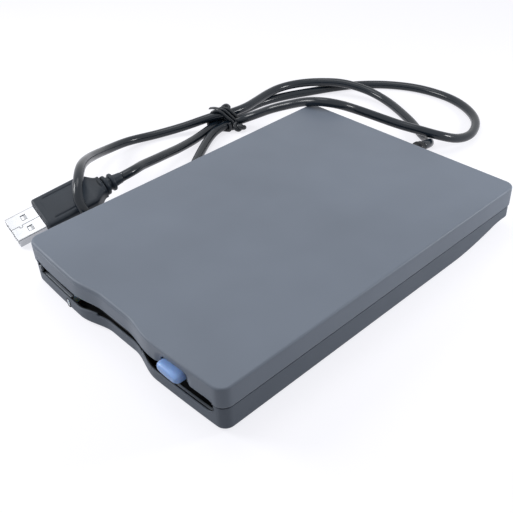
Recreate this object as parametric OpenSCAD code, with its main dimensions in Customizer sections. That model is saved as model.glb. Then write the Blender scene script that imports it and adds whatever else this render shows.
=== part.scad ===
// External floppy disk drive with its lead, at rest with no disk in it.
// Origin: on the floor under the middle of the case. +X right, -Y slot side, +Z up.

/* [Case] */
// Width of the case
case_w = 103; // [101:1:110]
// Rear face, measured from the middle
rear_y = 73.5; // [73.5:0.5:80]
// Most forward line of the bowed front
front_y = 72.0; // [72:0.5:76]
// Height of the top face above the floor
case_top = 17.5; // [17.5:0.5:22]
// Wall of the side, front and rear
wall = 1.7; // [1.5:0.1:1.8]
// Wall of the top face
top_wall = 1.6; // [1.2:0.1:2]
// Wall of the floor
floor_wall = 1.3; // [1:0.1:1.3]
// Height of the parting line
part_z = 9.6; // [9:0.1:10]
// Radius of the front corners
front_r = 4; // [3:0.5:5]
// Radius of the rear corners
rear_r = 4; // [3:0.5:6]
// How far the lower shell stands back from the upper one
lower_inset = 0.35; // [0.2:0.05:0.5]
// Depth of the finger scoop in the upper shell
scoop_top = 2.3; // [1.5:0.1:2.5]
// Depth of the finger scoop in the lower shell
scoop_low = 3.3; // [2:0.1:3.4]
// Height that the lower edge sweeps up at the rear
sweep_up = 3.4; // [2:0.1:3.6]

/* [Slot] */
// Case left beside each end of the disk slot
slot_side = 4; // [3.5:0.25:5]
// Lower edge of the slot
slot_low = 5.6; // [5.2:0.1:5.7]
// Upper edge of the slot
slot_high = 11.1; // [10.8:0.1:11.4]
// Height of the empty way for the disk above the slot's lower edge
disk_way = 4.35; // [4.3:0.05:4.4]

/* [Feet and screws] */
// Diameter of a rubber foot
foot_d = 9; // [6:0.5:10]
// Height of a rubber foot
foot_h = 0.7; // [0.5:0.1:1]
// Diameter of the case screws
screw_d = 2.4; // [2:0.1:2.6]

/* [Button and slide] */
// Width of the eject button
button_w = 11; // [9:0.5:13]
// Height of the eject button
button_h = 3.6; // [3:0.1:4.3]
// Middle of the eject button, in from the slot's end
button_in = 16; // [15.5:0.5:17]
// Sheet of the slide and the holder
sheet = 0.5; // [0.4:0.05:0.6]
// Travel of the slide when the disk drops
slide_travel = 4.5; // [3.5:0.25:4.5]
// Drop of the disk holder
drop = 1.5; // [1:0.1:1.5]
// Diameter of the holder's guide pins
pin_d = 1.6; // [1.4:0.1:1.8]

/* [Spindle and heads] */
// Distance of the spindle from the rear face
spindle_back = 96.5; // [95:0.5:97]
// Diameter of the spindle rotor
rotor_d = 38; // [34:1:39]
// Distance of the heads from the spindle at the outermost track
head_reach = 39.5; // [39.5:0.25:40.5]
// Travel of the heads over all tracks
head_travel = 14.8; // [14:0.1:15]
// Diameter of the guide rods
rod_d = 2; // [1.6:0.1:2.2]
// Diameter of the lead screw
lead_d = 2.4; // [2:0.1:2.6]
// Running clearance of shafts
fit = 0.05; // [0.02:0.01:0.08]

/* [Lead] */
// Diameter of the cord
cord_d = 4; // [3.9:0.05:4]
// Width of the plug's metal shell
plug_w = 12; // [12:0.1:12.2]
// Height of the plug's metal shell
plug_h = 4.5; // [4.4:0.1:4.6]
// Visible length of the plug's metal shell
plug_l = 12; // [11.5:0.1:13]
// Width of the plug's moulded body
mould_w = 15.6; // [15:0.1:16]

/* [Hidden] */
$fn = 48;
eps = 0.01;
bottom_z = foot_h;
floor_z = bottom_z + floor_wall;
roof_z = case_top - top_wall;
half_w = case_w / 2;
low_wall = wall + 0.2;
bow = 1.4;
scoop_half = 21;
scoop_flat = 6;
sweep_start = 38;
sweep_k = 200;
slot_x = half_w - slot_side;
button_x = slot_x - button_in;
way_low = slot_low + 0.2;
way_high = slot_low + disk_way;
// the dust flap hangs just behind the scoop
flap_y = -(front_y - scoop_top - wall) + 1.2;
flap_z = slot_high + 1.5;
flap_rod_r = 0.8;
flap_right = button_x - button_w / 2 - 3;
flap_left = -slot_x + 4;
flap_low = slot_low + 0.45;
// sheet walls, from the inside out
holder_x = slot_x - 2.1;
flange_x = holder_x + sheet + 0.6;
chassis_x = flange_x + sheet + 0.6;
chassis_t = 0.5;
deck_z = floor_z + chassis_t;
holder_top = way_high + 0.05;
slide_z = holder_top + sheet + 0.55;
shield_z = roof_z - 1.7;
wall_top = shield_z - 1.7;
// lengthwise, from the spindle and the two faces
spindle_y = rear_y - spindle_back;
head_y = spindle_y + head_reach;
holder_front = flap_y + 6.9;
holder_rear = spindle_y + 54;
pin_z = 8;
pin_ys = [holder_front + 11.9, holder_rear - 19];
chassis_front = -(front_y - scoop_low - wall) + 1.4;
chassis_step = holder_rear + 13;
chassis_rear = rear_y - 14;
shield_front = chassis_front + 10.6;
// spindle stack
board_t = 0.5;
rotor_low = deck_z + 0.3;
rotor_top = deck_z + 1.4;
// head carriage
block_y = head_y + 24.5;
block_l = 8;
rod_x = 9;
rod_z = 5.6;
lead_x = 17;
lead_z = 6.9;
bracket_y = block_y - head_travel - 1.9;
motor_y = block_y + block_l + 1;
arm_z = way_high + 1.1;
arm_pin_y = head_y + 29;
head_low = way_low - 0.1;
// shutter lever
lever_x = 7.4 - holder_x;
lever_y = holder_rear + 6;
lever_reach = [8, -24];
lever_z = slide_z + sheet + 0.5;
post_r = 1.5;
// main board beside the lever, and the rear board between the case screws
main_left = lever_x - 3.5;
main_right = -rod_x - 7;
main_front = lever_y - 9;
main_rear = rear_y - 16;
case_screw_x = half_w - 10.5;
chassis_tail_x = case_screw_x - 4;
usb_x = case_screw_x - 8;
usb_y = rear_y - 12.5;
usb_l = 9.8;
usb_z = 7;
relief_x = -2.5;
relief_z = 7;
relief_l = 16.5;

steel = "#b9bcc0";
dark_steel = "#8d9196";
slate_top = "#6c7584";
slate_low = "#565c66";
black_plastic = "#2b2e33";
green_board = "#1f6b3a";

// ---- outlines -------------------------------------------------------------

function smooth(t) = let (u = min(1, max(0, t))) u * u * (3 - 2 * u);
// front line: a shallow bow with a smooth scoop in its middle
function front_at(x, scoop) =
    -front_y + bow * pow(x / 46, 2)
    + scoop * smooth((scoop_half - abs(x)) / (scoop_half - scoop_flat));
function rise(y) = min(sweep_up, y > sweep_start ? pow(y - sweep_start, 2) / sweep_k : 0);
function arc_pts(cx, cy, r, a0, a1, n) =
    [for (i = [0:n]) let (a = a0 + (a1 - a0) * i / n) [cx + r * cos(a), cy + r * sin(a)]];
// plan of the case, anticlockwise from the front left, drawn in by inset
function plan(inset, scoop) = let (
        w = half_w - inset,
        rf = max(0.5, front_r - inset),
        rr = max(0.5, rear_r - inset),
        yf = front_at(w - rf, scoop) + inset,
        yr = rear_y - inset)
    concat(
        [for (i = [0:24]) let (x = -(w - rf) + (w - rf) / 12 * i)
            [x, front_at(x, scoop) + inset]],
        arc_pts(w - rf, yf + rf, rf, -75, 0, 5),
        [for (i = [1:5]) [w, yf + rf + (yr - rr - yf - rf) * i / 6]],
        arc_pts(w - rr, yr - rr, rr, 0, 90, 6),
        arc_pts(-(w - rr), yr - rr, rr, 90, 180, 6),
        [for (i = [5:-1:1]) [-w, yf + rf + (yr - rr - yf - rf) * i / 6]],
        arc_pts(-(w - rf), yf + rf, rf, 180, 255, 5));
function middle(ring) = [for (p = ring) 1] * ring / len(ring);
// joins rings of equal length into one closed solid
module loft(rings) {
    n = len(rings[0]);
    m = len(rings);
    polyhedron(
        points = concat([for (r = rings) for (p = r) p], [middle(rings[0]), middle(rings[m - 1])]),
        faces = concat(
            [for (i = [0:n - 1]) [i, (i + 1) % n, m * n]],
            [for (k = [0:m - 2]) for (i = [0:n - 1]) let (j = (i + 1) % n)
                each [[k * n + i, (k + 1) * n + i, k * n + j],
                      [k * n + j, (k + 1) * n + i, (k + 1) * n + j]]],
            [for (i = [0:n - 1]) [(m - 1) * n + (i + 1) % n, (m - 1) * n + i, m * n + 1]]),
        convexity = 6);
}
function level(inset, scoop, z) = [for (p = plan(inset, scoop)) [p[0], p[1], z]];
// a ring of the lower shell, swept in and up towards the rear
function swept(inset, scoop, z, in_k, up_k) = let (a = plan(inset, scoop))
    [for (i = [0:len(a) - 1]) let (
            r = rise(a[i][1]),
            b = plan(inset + in_k * r, scoop)[i])
        [b[0], b[1], z + up_k * r]];
module box(x0, x1, y0, y1, z0, z1) {
    translate([x0, y0, z0]) cube([x1 - x0, y1 - y0, z1 - z0]);
}
module both_sides() {
    children();
    mirror([1, 0, 0]) children();
}

// ---- case -----------------------------------------------------------------

foot_x = half_w - 14.5;
foot_ys = [16 - front_y, rear_y - 27.5];
case_screw_y = rear_y - 11;
head_h = 1.4;
boss_top = part_z - 1.4;

module case_outside_top() {
    loft([level(0, scoop_top, part_z + 0.05),
          level(0, scoop_top, case_top - 0.8),
          level(0.12, scoop_top, case_top - 0.4),
          level(0.4, scoop_top, case_top - 0.12),
          level(0.85, scoop_top, case_top)]);
}
module button_notch(gap) {
    box(button_x - button_w / 2 - gap, button_x + button_w / 2 + gap,
        -front_y - 5, -front_y + 6, slot_high - 1, way_high + 0.05 + button_h + gap);
}
module relief_hole(r) {
    translate([relief_x, rear_y - 8, relief_z]) rotate([-90, 0, 0]) cylinder(r = r, h = 12);
}
module top_cover() {
    color(slate_top) {
        difference() {
            case_outside_top();
            translate([0, 0, part_z - 1]) linear_extrude(roof_z - part_z + 1)
                polygon(plan(wall, scoop_top));
            // rebate for the lower shell's tongue
            translate([0, 0, part_z - 1]) linear_extrude(1.8) polygon(plan(0.9, scoop_top));
            box(-slot_x, slot_x, -front_y - 5, -front_y + 8, part_z - 1, slot_high);
            button_notch(0.5);
            relief_hole(3.3);
        }
        // ears that carry the dust flap's rod
        for (x = [flap_left - 5, flap_right + 0.3]) difference() {
            box(x, x + 1.4, flap_y - 1.1, flap_y + 1.2, slot_high + 0.2, roof_z + eps);
            translate([x - 1, flap_y, flap_z]) rotate([0, 90, 0])
                cylinder(r = flap_rod_r + fit, h = 4);
        }
        both_sides() difference() {
            translate([case_screw_x, case_screw_y, boss_top + 0.1])
                cylinder(r = 3, h = roof_z - boss_top - 0.1 + eps);
            translate([case_screw_x, case_screw_y, boss_top - 1])
                cylinder(d = screw_d + 2 * fit, h = 6);
        }
    }
}
module bottom_cover() {
    li = lower_inset;
    color(slate_low) {
        difference() {
            union() {
                loft([swept(li + 0.9, scoop_low, bottom_z, 1.5, 0),
                      swept(li + 0.25, scoop_low, bottom_z + 0.3, 0.9, 0.5),
                      swept(li, scoop_low, bottom_z + 1, 0, 1),
                      level(li, scoop_low, part_z - 0.1)]);
                translate([0, 0, part_z - 0.2]) linear_extrude(0.9)
                    polygon(plan(1.05, scoop_low));
            }
            loft([swept(low_wall, scoop_low, floor_z, 1.7, 0),
                  swept(low_wall, scoop_low, floor_z + 0.8, 0, 1),
                  level(low_wall, scoop_low, part_z + 2)]);
            box(-slot_x, slot_x, -front_y - 5, -front_y + 8, slot_low, part_z + 3);
            relief_hole(3.3);
            box(relief_x - 3.1, relief_x + 3.1, rear_y - 8, rear_y + 4, relief_z, part_z + 3);
            lamp_hole(0.15);
            both_sides() {
                translate([case_screw_x, case_screw_y, bottom_z - 1])
                    cylinder(d = screw_d + 0.3, h = 6);
                translate([case_screw_x, case_screw_y, bottom_z - 1])
                    cylinder(r = 2.3, h = 1 + head_h + 0.3);
            }
        }
        both_sides() {
            difference() {
                translate([case_screw_x, case_screw_y, floor_z - 0.3])
                    cylinder(r = 3.4, h = boss_top - floor_z + 0.3);
                translate([case_screw_x, case_screw_y, bottom_z - 1])
                    cylinder(d = screw_d + 0.3, h = 12);
                translate([case_screw_x, case_screw_y, bottom_z - 1])
                    cylinder(r = 2.3, h = 1 + head_h + 0.3);
            }
            translate([usb_x - 6, usb_y + 4, floor_z - 0.2])
                cylinder(r = 2.2, h = usb_z - floor_z + 0.2);
        }
    }
}
module rubber_feet() {
    color("#3a3d42") both_sides() for (y = foot_ys) translate([foot_x, y, 0]) {
        cylinder(d1 = foot_d - 0.6, d2 = foot_d, h = 0.3);
        translate([0, 0, 0.3]) cylinder(d = foot_d, h = foot_h - 0.3);
    }
}
module case_screws() {
    color(dark_steel) both_sides() translate([case_screw_x, case_screw_y, bottom_z]) {
        difference() {
            translate([0, 0, 0.3]) cylinder(r = 2.1, h = head_h);
            translate([-1.6, -0.25, 0]) cube([3.2, 0.5, 0.9]);
            translate([-0.25, -1.6, 0]) cube([0.5, 3.2, 0.9]);
        }
        translate([0, 0, 0.3 + head_h]) cylinder(d = screw_d, h = 9.5);
    }
}

// ---- lamp -----------------------------------------------------------------

lamp_x = 19.5 - slot_x;
lamp_z = 3.4;
lamp_w = 1.6;
lamp_h = 2.2;
module lamp_hole(gap) {
    box(lamp_x - lamp_w / 2 - gap, lamp_x + lamp_w / 2 + gap, -front_y - 3, -front_y + 8,
        lamp_z - lamp_h / 2 - gap, lamp_z + lamp_h / 2 + gap);
}
module lamp_lens() {
    color("#e8edf2") box(lamp_x - lamp_w / 2, lamp_x + lamp_w / 2,
        front_at(lamp_x, 0) + lower_inset - 0.1, chassis_front - 1, lamp_z - lamp_h / 2, lamp_z + lamp_h / 2);
}
module indicator_led() {
    color("#d8f0c8") {
        box(lamp_x - 0.8, lamp_x + 0.8, chassis_front - 0.7, chassis_front + 0.9,
            deck_z + 0.05, deck_z + 1.7);
    }
}

// ---- dust flap ------------------------------------------------------------

module dust_flap() {
    color(black_plastic) {
        translate([flap_left, flap_y, flap_z]) rotate([0, 90, 0])
            cylinder(r = 1, h = flap_right - flap_left);
        translate([flap_left - 5, flap_y, flap_z]) rotate([0, 90, 0])
            cylinder(r = flap_rod_r, h = flap_right - flap_left + 6.7);
        box(flap_left, flap_right, flap_y - 0.9, flap_y - 0.2, flap_low, flap_z);
        box(flap_left, flap_right, flap_y - 0.9, flap_y + 0.2, flap_low, flap_low + 0.5);
    }
}
module flap_spring() {
    color(steel) translate([flap_left - 3.3, flap_y, flap_z]) rotate([0, 90, 0]) difference() {
        cylinder(r = 1.25, h = 2.9);
        translate([0, 0, -1]) cylinder(r = flap_rod_r + 0.1, h = 5);
    }
}

// ---- eject button and slide ------------------------------------------------

button_low = way_high + 0.05;
button_nose = -front_y - 1.5;
button_back = -front_y + 9;
// rounded oblong ring in a plane square to Y
function oblong(w, h, r, y, cz) = let (n = 5, a = w / 2 - r, b = h / 2 - r)
    [for (q = [0:3]) for (i = [0:n]) let (
            t = q * 90 + 90 * i / n,
            sx = (q == 0 || q == 3) ? 1 : -1,
            sz = q < 2 ? 1 : -1)
        [-sx * a - r * cos(t), y, cz + sz * b + r * sin(t)]];
module eject_button() {
    cz = button_low + button_h / 2;
    color("#83a2d1") difference() {
        union() {
            translate([button_x, 0, 0]) loft([
                oblong(button_w - 3.4, button_h - 2.2, 0.42 * (button_h - 2.2), button_nose, cz),
                oblong(button_w - 1.6, button_h - 1, 0.42 * (button_h - 1), button_nose + 0.35, cz),
                oblong(button_w - 0.5, button_h - 0.3, 0.42 * (button_h - 0.3), button_nose + 1.1, cz),
                oblong(button_w, button_h, 1.2, button_nose + 2.2, cz),
                oblong(button_w, button_h, 1.0, button_back, cz)]);
        }
        // pocket for the slide's tongue
        box(button_x - 3.6, button_x + 3.6, button_back - 3.1, button_back + 1,
            slide_z - 0.05, slide_z + sheet + 0.05);
    }
}
module cam_slot(y, z0, dy, dz) {
    s = sqrt(dy * dy + dz * dz);
    u = [dy / s, dz / s];
    n = [-u[1], u[0]];
    r = pin_d / 2 + 0.15;
    p0 = [y, z0] - u * (r + 0.15);
    p1 = [y + dy, z0 + dz] + u * (r + 0.15);
    rotate([90, 0, 90]) linear_extrude(2 * chassis_x + 8, center = true)
        polygon([p0 - n * r, p1 - n * r, p1 + n * r, p0 + n * r]);
}
slide_front = flap_y + 6.6 + slide_travel + 0.4;
slide_rear = holder_rear - 5;
spring_x = flange_x - 2.3;
spring_z = slide_z + 1.85;
spring_y0 = pin_ys[0] + 10;
spring_y1 = spring_y0 + 24;
module slide_plate() {
    color(steel) {
        both_sides() {
            difference() {
                box(flange_x, flange_x + sheet, slide_front, slide_rear, pin_z - 3.4,
                    slide_z + sheet);
                for (y = pin_ys) cam_slot(y, pin_z, slide_travel, -drop);
            }
            box(flange_x - 4.4, flange_x + eps, slide_front, slide_rear, slide_z, slide_z + sheet);
            // fork that the spring's rear loop hooks on
            for (x = [spring_x - 2.1, spring_x + 1.6])
                box(x, x + 0.5, spring_y1 - 1.4, spring_y1 + 0.2, slide_z + sheet - eps,
                    spring_z + 1);
        }
        box(-flange_x, flange_x, slide_front, slide_front + 9, slide_z, slide_z + sheet);
        box(button_x - 3.5, button_x + 3.5, button_back - 3, slide_front + 1,
            slide_z, slide_z + sheet);
    }
}
module eject_springs() {
    color(dark_steel) both_sides() translate([spring_x, spring_y0, spring_z])
        rotate([-90, 0, 0]) difference() {
            cylinder(r = 1.1, h = spring_y1 - spring_y0);
            translate([0, 0, -1]) cylinder(r = 0.7, h = spring_y1 - spring_y0 + 2);
        }
}

// ---- disk holder -----------------------------------------------------------

rail_low = way_low - 0.4;
window_x = 9.5;
module disk_holder() {
    color(steel) {
        difference() {
            box(-holder_x - sheet, holder_x + sheet, holder_front, holder_rear,
                holder_top, holder_top + sheet);
            box(-window_x, window_x, head_y - head_travel - 5, holder_rear + 1,
                holder_top - 1, holder_top + 2);
            // clear way for the shutter lever's tab
            box(-holder_x + 1.4, -window_x + eps, lever_y + lever_reach[1] - 5, holder_rear + 1,
                holder_top - 1, holder_top + 2);
            // clear way for the carriage and its screw
            box(window_x - eps, lead_x + 3.4, bracket_y - 0.6, holder_rear + 1,
                holder_top - 1, holder_top + 2);
            // round lightening holes
            for (x = [-24, 24]) translate([x, spindle_y - 7, holder_top - 1])
                cylinder(d = 14, h = 3);
        }
        both_sides() {
            box(holder_x, holder_x + sheet, holder_front, holder_rear, rail_low,
                holder_top + sheet);
            box(holder_x - 3.2, holder_x + eps, holder_front, holder_rear, rail_low,
                rail_low + 0.45);
            for (y = pin_ys) translate([holder_x + eps, y, pin_z]) rotate([0, 90, 0])
                cylinder(d = pin_d, h = chassis_x - holder_x + chassis_t + 0.3);
        }
    }
}

// ---- chassis ---------------------------------------------------------------

motor_cut = [rotor_d / 2 + 3.4, rotor_d / 2 + 5, rotor_d / 2 + 0.8];
module chassis() {
    color(dark_steel) {
        difference() {
            union() {
                box(-chassis_x - chassis_t, chassis_x + chassis_t, chassis_front, chassis_step,
                    floor_z, deck_z);
                box(-chassis_tail_x, chassis_tail_x, chassis_step - eps, chassis_rear,
                    floor_z, deck_z);
            }
            for (p = plate_screws) translate([p[0], p[1], floor_z - 1]) cylinder(r = 1, h = 3);
            box(-motor_cut[0], motor_cut[0], spindle_y - motor_cut[1],
                spindle_y + motor_cut[2], floor_z - 1, deck_z + 1);
        }
        both_sides() {
            difference() {
                box(chassis_x, chassis_x + chassis_t, chassis_front + 1.5, chassis_step,
                    floor_z, wall_top);
                for (y = pin_ys) box(chassis_x - 1, chassis_x + chassis_t + 1,
                    y - pin_d / 2 - 0.1, y + pin_d / 2 + 0.1,
                    pin_z - drop - pin_d / 2 - 0.3, pin_z + pin_d / 2 + 0.3);
            }
            // hooks for the springs' front loops
            box(spring_x - 1.4, chassis_x + chassis_t, spring_y0 - 0.8, spring_y0,
                wall_top - 0.4, shield_z);
            // rests for the shield
            box(chassis_x, chassis_x + chassis_t, holder_rear - 7, holder_rear - 1,
                wall_top - eps, shield_z);
            box(chassis_x, chassis_x + chassis_t, chassis_front + 12, chassis_front + 18,
                wall_top - eps, shield_z);
            // rod brackets
            difference() {
                box(rod_x - 2.2, rod_x + 2.2, bracket_y, bracket_y + 1.4,
                    deck_z - eps, rod_z + 2);
                translate([rod_x, bracket_y - 1, rod_z]) rotate([-90, 0, 0])
                    cylinder(d = rod_d + 0.04, h = 4);
            }
            difference() {
                box(rod_x - 2.2, rod_x + 2.2, chassis_rear - 1.4, chassis_rear,
                    deck_z - eps, rod_z + 2);
                translate([rod_x, chassis_rear - 2.5, rod_z]) rotate([-90, 0, 0])
                    cylinder(d = rod_d + 0.04, h = 4);
            }
        }
        // end bearing of the lead screw
        difference() {
            box(lead_x - 2, lead_x + 2, bracket_y, bracket_y + 1.2, deck_z - eps, lead_z + 2);
            translate([lead_x, bracket_y - 1, lead_z]) rotate([-90, 0, 0])
                cylinder(r = 0.6 + fit, h = 4);
        }
        // post of the shutter lever
        translate([lever_x, lever_y, deck_z - eps])
            cylinder(r = post_r, h = lever_z + 1.1 - deck_z);
    }
}
shield_t = 0.4;
module shield_plate() {
    color(steel) difference() {
        union() {
            box(-chassis_x - chassis_t - 0.45, chassis_x + chassis_t + 0.45,
                shield_front, chassis_step, shield_z, shield_z + shield_t);
            box(-chassis_tail_x, chassis_tail_x, chassis_step - eps, chassis_rear,
                shield_z, shield_z + shield_t);
            both_sides() box(chassis_x + chassis_t + 0.05, chassis_x + chassis_t + 0.45,
                shield_front, chassis_step, shield_z - 4, shield_z + 0.1);
        }
        for (x = [-26, 26]) for (y = [spindle_y - 13, spindle_y + 27])
            translate([x, y, shield_z - 1]) cylinder(d = 16, h = 3);
    }
}
// two screws hold the main board, and two the deck alone
plate_screws = [[main_left + 13.5, lever_y - 3], [main_right - 3.5, block_y + 10.75],
    [28, lever_y - 3], [28, chassis_rear - 4.5]];
module chassis_screws() {
    color(steel) for (p = plate_screws)
        translate([p[0], p[1], 0]) {
            translate([0, 0, board_z(p[0]) ]) cylinder(r = 1.9, h = 1);
            translate([0, 0, floor_z + 0.1]) cylinder(r = 0.9, h = board_z(p[0]) - floor_z);
        }
}
function board_z(x) = x < 0 ? main_z + main_t : deck_z;

// ---- spindle ---------------------------------------------------------------

module at_spindle() translate([0, spindle_y, 0]) children();
module motor_board() {
    color(green_board) difference() {
        box(-motor_cut[0] + 0.25, motor_cut[0] - 0.25, spindle_y - motor_cut[1] + 0.25,
            spindle_y + motor_cut[2] - 0.25, floor_z, deck_z);
        at_spindle() translate([0, 0, floor_z - 1]) cylinder(r = 3, h = 4);
    }
}
module spindle_bearing() {
    color("#b08d4a") at_spindle() difference() {
        union() {
            translate([0, 0, floor_z]) cylinder(r = 2.95, h = deck_z - floor_z);
            translate([0, 0, deck_z]) cylinder(r = 4, h = 0.85);
        }
        translate([0, 0, floor_z + 0.3]) cylinder(r = 1.5 + fit, h = 5);
    }
}
module stator_core() {
    color("#9a5a2e") at_spindle() translate([0, 0, deck_z]) difference() {
        union() {
            cylinder(r = 8, h = 0.6);
            for (a = [0:30:330]) rotate(a) translate([0, -1.1, 0]) cube([rotor_d / 2 - 4, 2.2, 0.6]);
        }
        translate([0, 0, -1]) cylinder(r = 4.3, h = 3);
    }
}
module spindle_rotor() {
    r = rotor_d / 2;
    color(steel) at_spindle() {
        difference() {
            translate([0, 0, rotor_low]) cylinder(r = r, h = rotor_top - rotor_low);
            translate([0, 0, rotor_low - 1]) cylinder(r = r - 0.6, h = rotor_top - rotor_low + 0.6);
            for (a = [30:60:330]) rotate(a) translate([r - 5.5, 0, rotor_top - 1])
                cylinder(r = 2.4, h = 2);
        }
        translate([0, 0, floor_z + 0.4]) cylinder(r = 1.5, h = rotor_top - floor_z - 0.4);
    }
}
module rotor_magnet() {
    r = rotor_d / 2 - 0.6;
    color("#4a4a4f") at_spindle() translate([0, 0, rotor_low]) difference() {
        cylinder(r = r - 0.01, h = 0.65);
        translate([0, 0, -1]) cylinder(r = r - 1.6, h = 3);
    }
}
module spindle_hub() {
    color(dark_steel) at_spindle() translate([0, 0, rotor_top]) {
        difference() {
            cylinder(r = 10.5, h = 0.5);
            translate([6.5, 0, -1]) cylinder(r = 1 + 0.02, h = 3);
        }
        cylinder(r = 2, h = 1.3);
    }
}
module drive_pin() {
    color(steel) at_spindle() translate([6.5, 0, rotor_top]) cylinder(r = 1, h = 1.2);
}

// ---- heads -----------------------------------------------------------------

ear_x = 5.4;
ear_t = 1.4;
block_x = rod_x + 3;
block_low = deck_z + 0.6;
block_top = rod_z + 3.8;
module head_carriage() {
    color("#3b3f46") difference() {
        union() {
            box(-block_x, block_x, block_y, block_y + block_l, block_low, block_top);
            box(-4.5, 4.5, head_y - 4, block_y + 1, deck_z + 0.5, deck_z + 1.4);
            translate([0, head_y, deck_z + 1.3]) cylinder(r = 3.2, h = head_low - 0.5 - deck_z - 1.3);
            both_sides() box(ear_x, ear_x + ear_t, arm_pin_y - 1.9, arm_pin_y + 1.9,
                block_top - eps, arm_z + 1.6);
            // flag for the outer track sensor
            box(-block_x - 6.4, -block_x + eps, block_y + 4.6, block_y + 7.4, 6, 6.5);
        }
        both_sides() translate([rod_x, block_y - 1, rod_z]) rotate([-90, 0, 0])
            cylinder(d = rod_d + 2 * fit, h = block_l + 2);
        translate([-10, arm_pin_y, arm_z + 0.3]) rotate([0, 90, 0])
            cylinder(r = 0.8 + fit, h = 20);
        // relief under the arm's barrel
        box(-ear_x, ear_x, arm_pin_y - 1.9, arm_pin_y + 1.9, block_top - 0.6, block_top + 1);
    }
}
module lower_head() {
    color("#d8d4c8") translate([0, head_y, head_low - 0.5]) cylinder(r = 2.6, h = 0.5);
}
module screw_follower() {
    color("#e3dfd2") difference() {
        box(block_x, lead_x + 2.6, block_y + 2, block_y + 6, lead_z - 2.4, lead_z + 2.4);
        translate([lead_x, block_y, lead_z]) rotate([-90, 0, 0])
            cylinder(d = lead_d + 2 * fit, h = 8);
    }
}
module head_arm() {
    color("#c9ccd0") {
        box(-4, 4, head_y - 4, arm_pin_y - 0.4, arm_z, arm_z + 0.6);
        translate([-4.9, arm_pin_y, arm_z + 0.3]) rotate([0, 90, 0]) cylinder(r = 1.3, h = 9.8);
        translate([-7.2, arm_pin_y, arm_z + 0.3]) rotate([0, 90, 0]) cylinder(r = 0.8, h = 14.4);
        translate([0, head_y, way_high + 0.6]) cylinder(r = 3, h = 0.6);
    }
}
module upper_head() {
    color("#d8d4c8") translate([0, head_y, way_high + 0.1]) cylinder(r = 2.6, h = 0.5);
}
module arm_spring() {
    color(steel) box(-2.2, 2.2, head_y - 2, arm_pin_y - 4, arm_z + 0.6, arm_z + 0.85);
}
module guide_rods() {
    color(steel) both_sides() translate([rod_x, bracket_y, rod_z]) rotate([-90, 0, 0])
        cylinder(d = rod_d, h = chassis_rear - bracket_y);
}
module lead_screw() {
    color(steel) translate([lead_x, bracket_y, lead_z]) rotate([-90, 0, 0]) {
        cylinder(r = 0.6, h = 2);
        translate([0, 0, 1.6]) cylinder(d = lead_d, h = motor_y - bracket_y - 1.9);
        translate([0, 0, motor_y - bracket_y - 0.4]) cylinder(r = 0.8, h = 3);
    }
}
module stepper_motor() {
    color(dark_steel) translate([lead_x, motor_y, lead_z]) rotate([-90, 0, 0]) difference() {
        union() {
            cylinder(r = 4.35, h = 9);
            translate([0, 0, 9]) cylinder(r = 2, h = 0.6);
        }
        translate([0, 0, -1]) cylinder(r = 0.8 + fit, h = 4);
    }
}

// ---- shutter lever ---------------------------------------------------------

module trigger_lever() {
    tab = [lever_x + lever_reach[0], lever_y + lever_reach[1]];
    color(steel) difference() {
        union() {
            hull() {
                translate([lever_x, lever_y, lever_z]) cylinder(r = 3.4, h = 0.6, $fn = 32);
                translate([tab[0], tab[1], lever_z]) cylinder(r = 1.8, h = 0.6, $fn = 32);
            }
            translate([tab[0], tab[1], way_low + 0.6]) cylinder(r = 1, h = lever_z - way_low - 0.3);
        }
        translate([lever_x, lever_y, lever_z - 1]) cylinder(r = post_r + fit, h = 3);
    }
}
module trigger_spring() {
    color(dark_steel) translate([lever_x, lever_y, lever_z - 3.3]) difference() {
        cylinder(r = 2.5, h = 3.2);
        translate([0, 0, -1]) cylinder(r = post_r + 0.1, h = 6);
    }
}

// ---- sensors ---------------------------------------------------------------

sensor_x = holder_x - 6.4;
sensor_y = chassis_front + 5.1;
plunger_r = 0.8;
plunger_travel = 1;
block_h = 1.4;
sensor_z = deck_z + 0.7;
module sensor_boards() {
    color(green_board) both_sides()
        box(sensor_x - 14, sensor_x + 5, chassis_front + 1.6, sensor_y + 5, deck_z, sensor_z);
}
module sensor_blocks() {
    color("#f0efe6") both_sides() difference() {
        box(sensor_x - 3, sensor_x + 2.5, sensor_y - 2.2, sensor_y + 2.2 + 4, sensor_z,
            sensor_z + block_h);
        translate([sensor_x, sensor_y, sensor_z - 1]) cylinder(r = plunger_r + fit, h = 4);
        translate([sensor_x, sensor_y + 3.6, sensor_z - 1]) cylinder(r = plunger_r + fit, h = 4);
    }
}
module plunger(x, y) {
    color("#c6c9cc") translate([x, y, sensor_z + plunger_travel + 0.05])
        cylinder(r = plunger_r, h = head_low - sensor_z - plunger_travel - 0.05);
}
module write_protect_plunger() plunger(sensor_x, sensor_y);
module disk_in_plunger() plunger(sensor_x, sensor_y + 3.6);
module density_plunger() plunger(-sensor_x, sensor_y);

// ---- boards ----------------------------------------------------------------

main_z = deck_z + 0.8;
main_t = 0.8;
module main_board() {
    color(green_board) {
        difference() {
            box(main_left, main_right, main_front, main_rear, main_z, main_z + main_t);
            translate([lever_x, lever_y, main_z - 1]) cylinder(r = 2.6, h = 3);
            for (i = [0, 1]) translate([plate_screws[i][0], plate_screws[i][1], main_z - 1])
                cylinder(r = 1.1, h = 3);
        }
        // spacers under the board
        for (i = [0, 1]) translate([plate_screws[i][0], plate_screws[i][1], deck_z]) difference() {
            cylinder(r = 2.2, h = main_z - deck_z + eps);
            translate([0, 0, -1]) cylinder(r = 1.1, h = 4);
        }
    }
}
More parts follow.
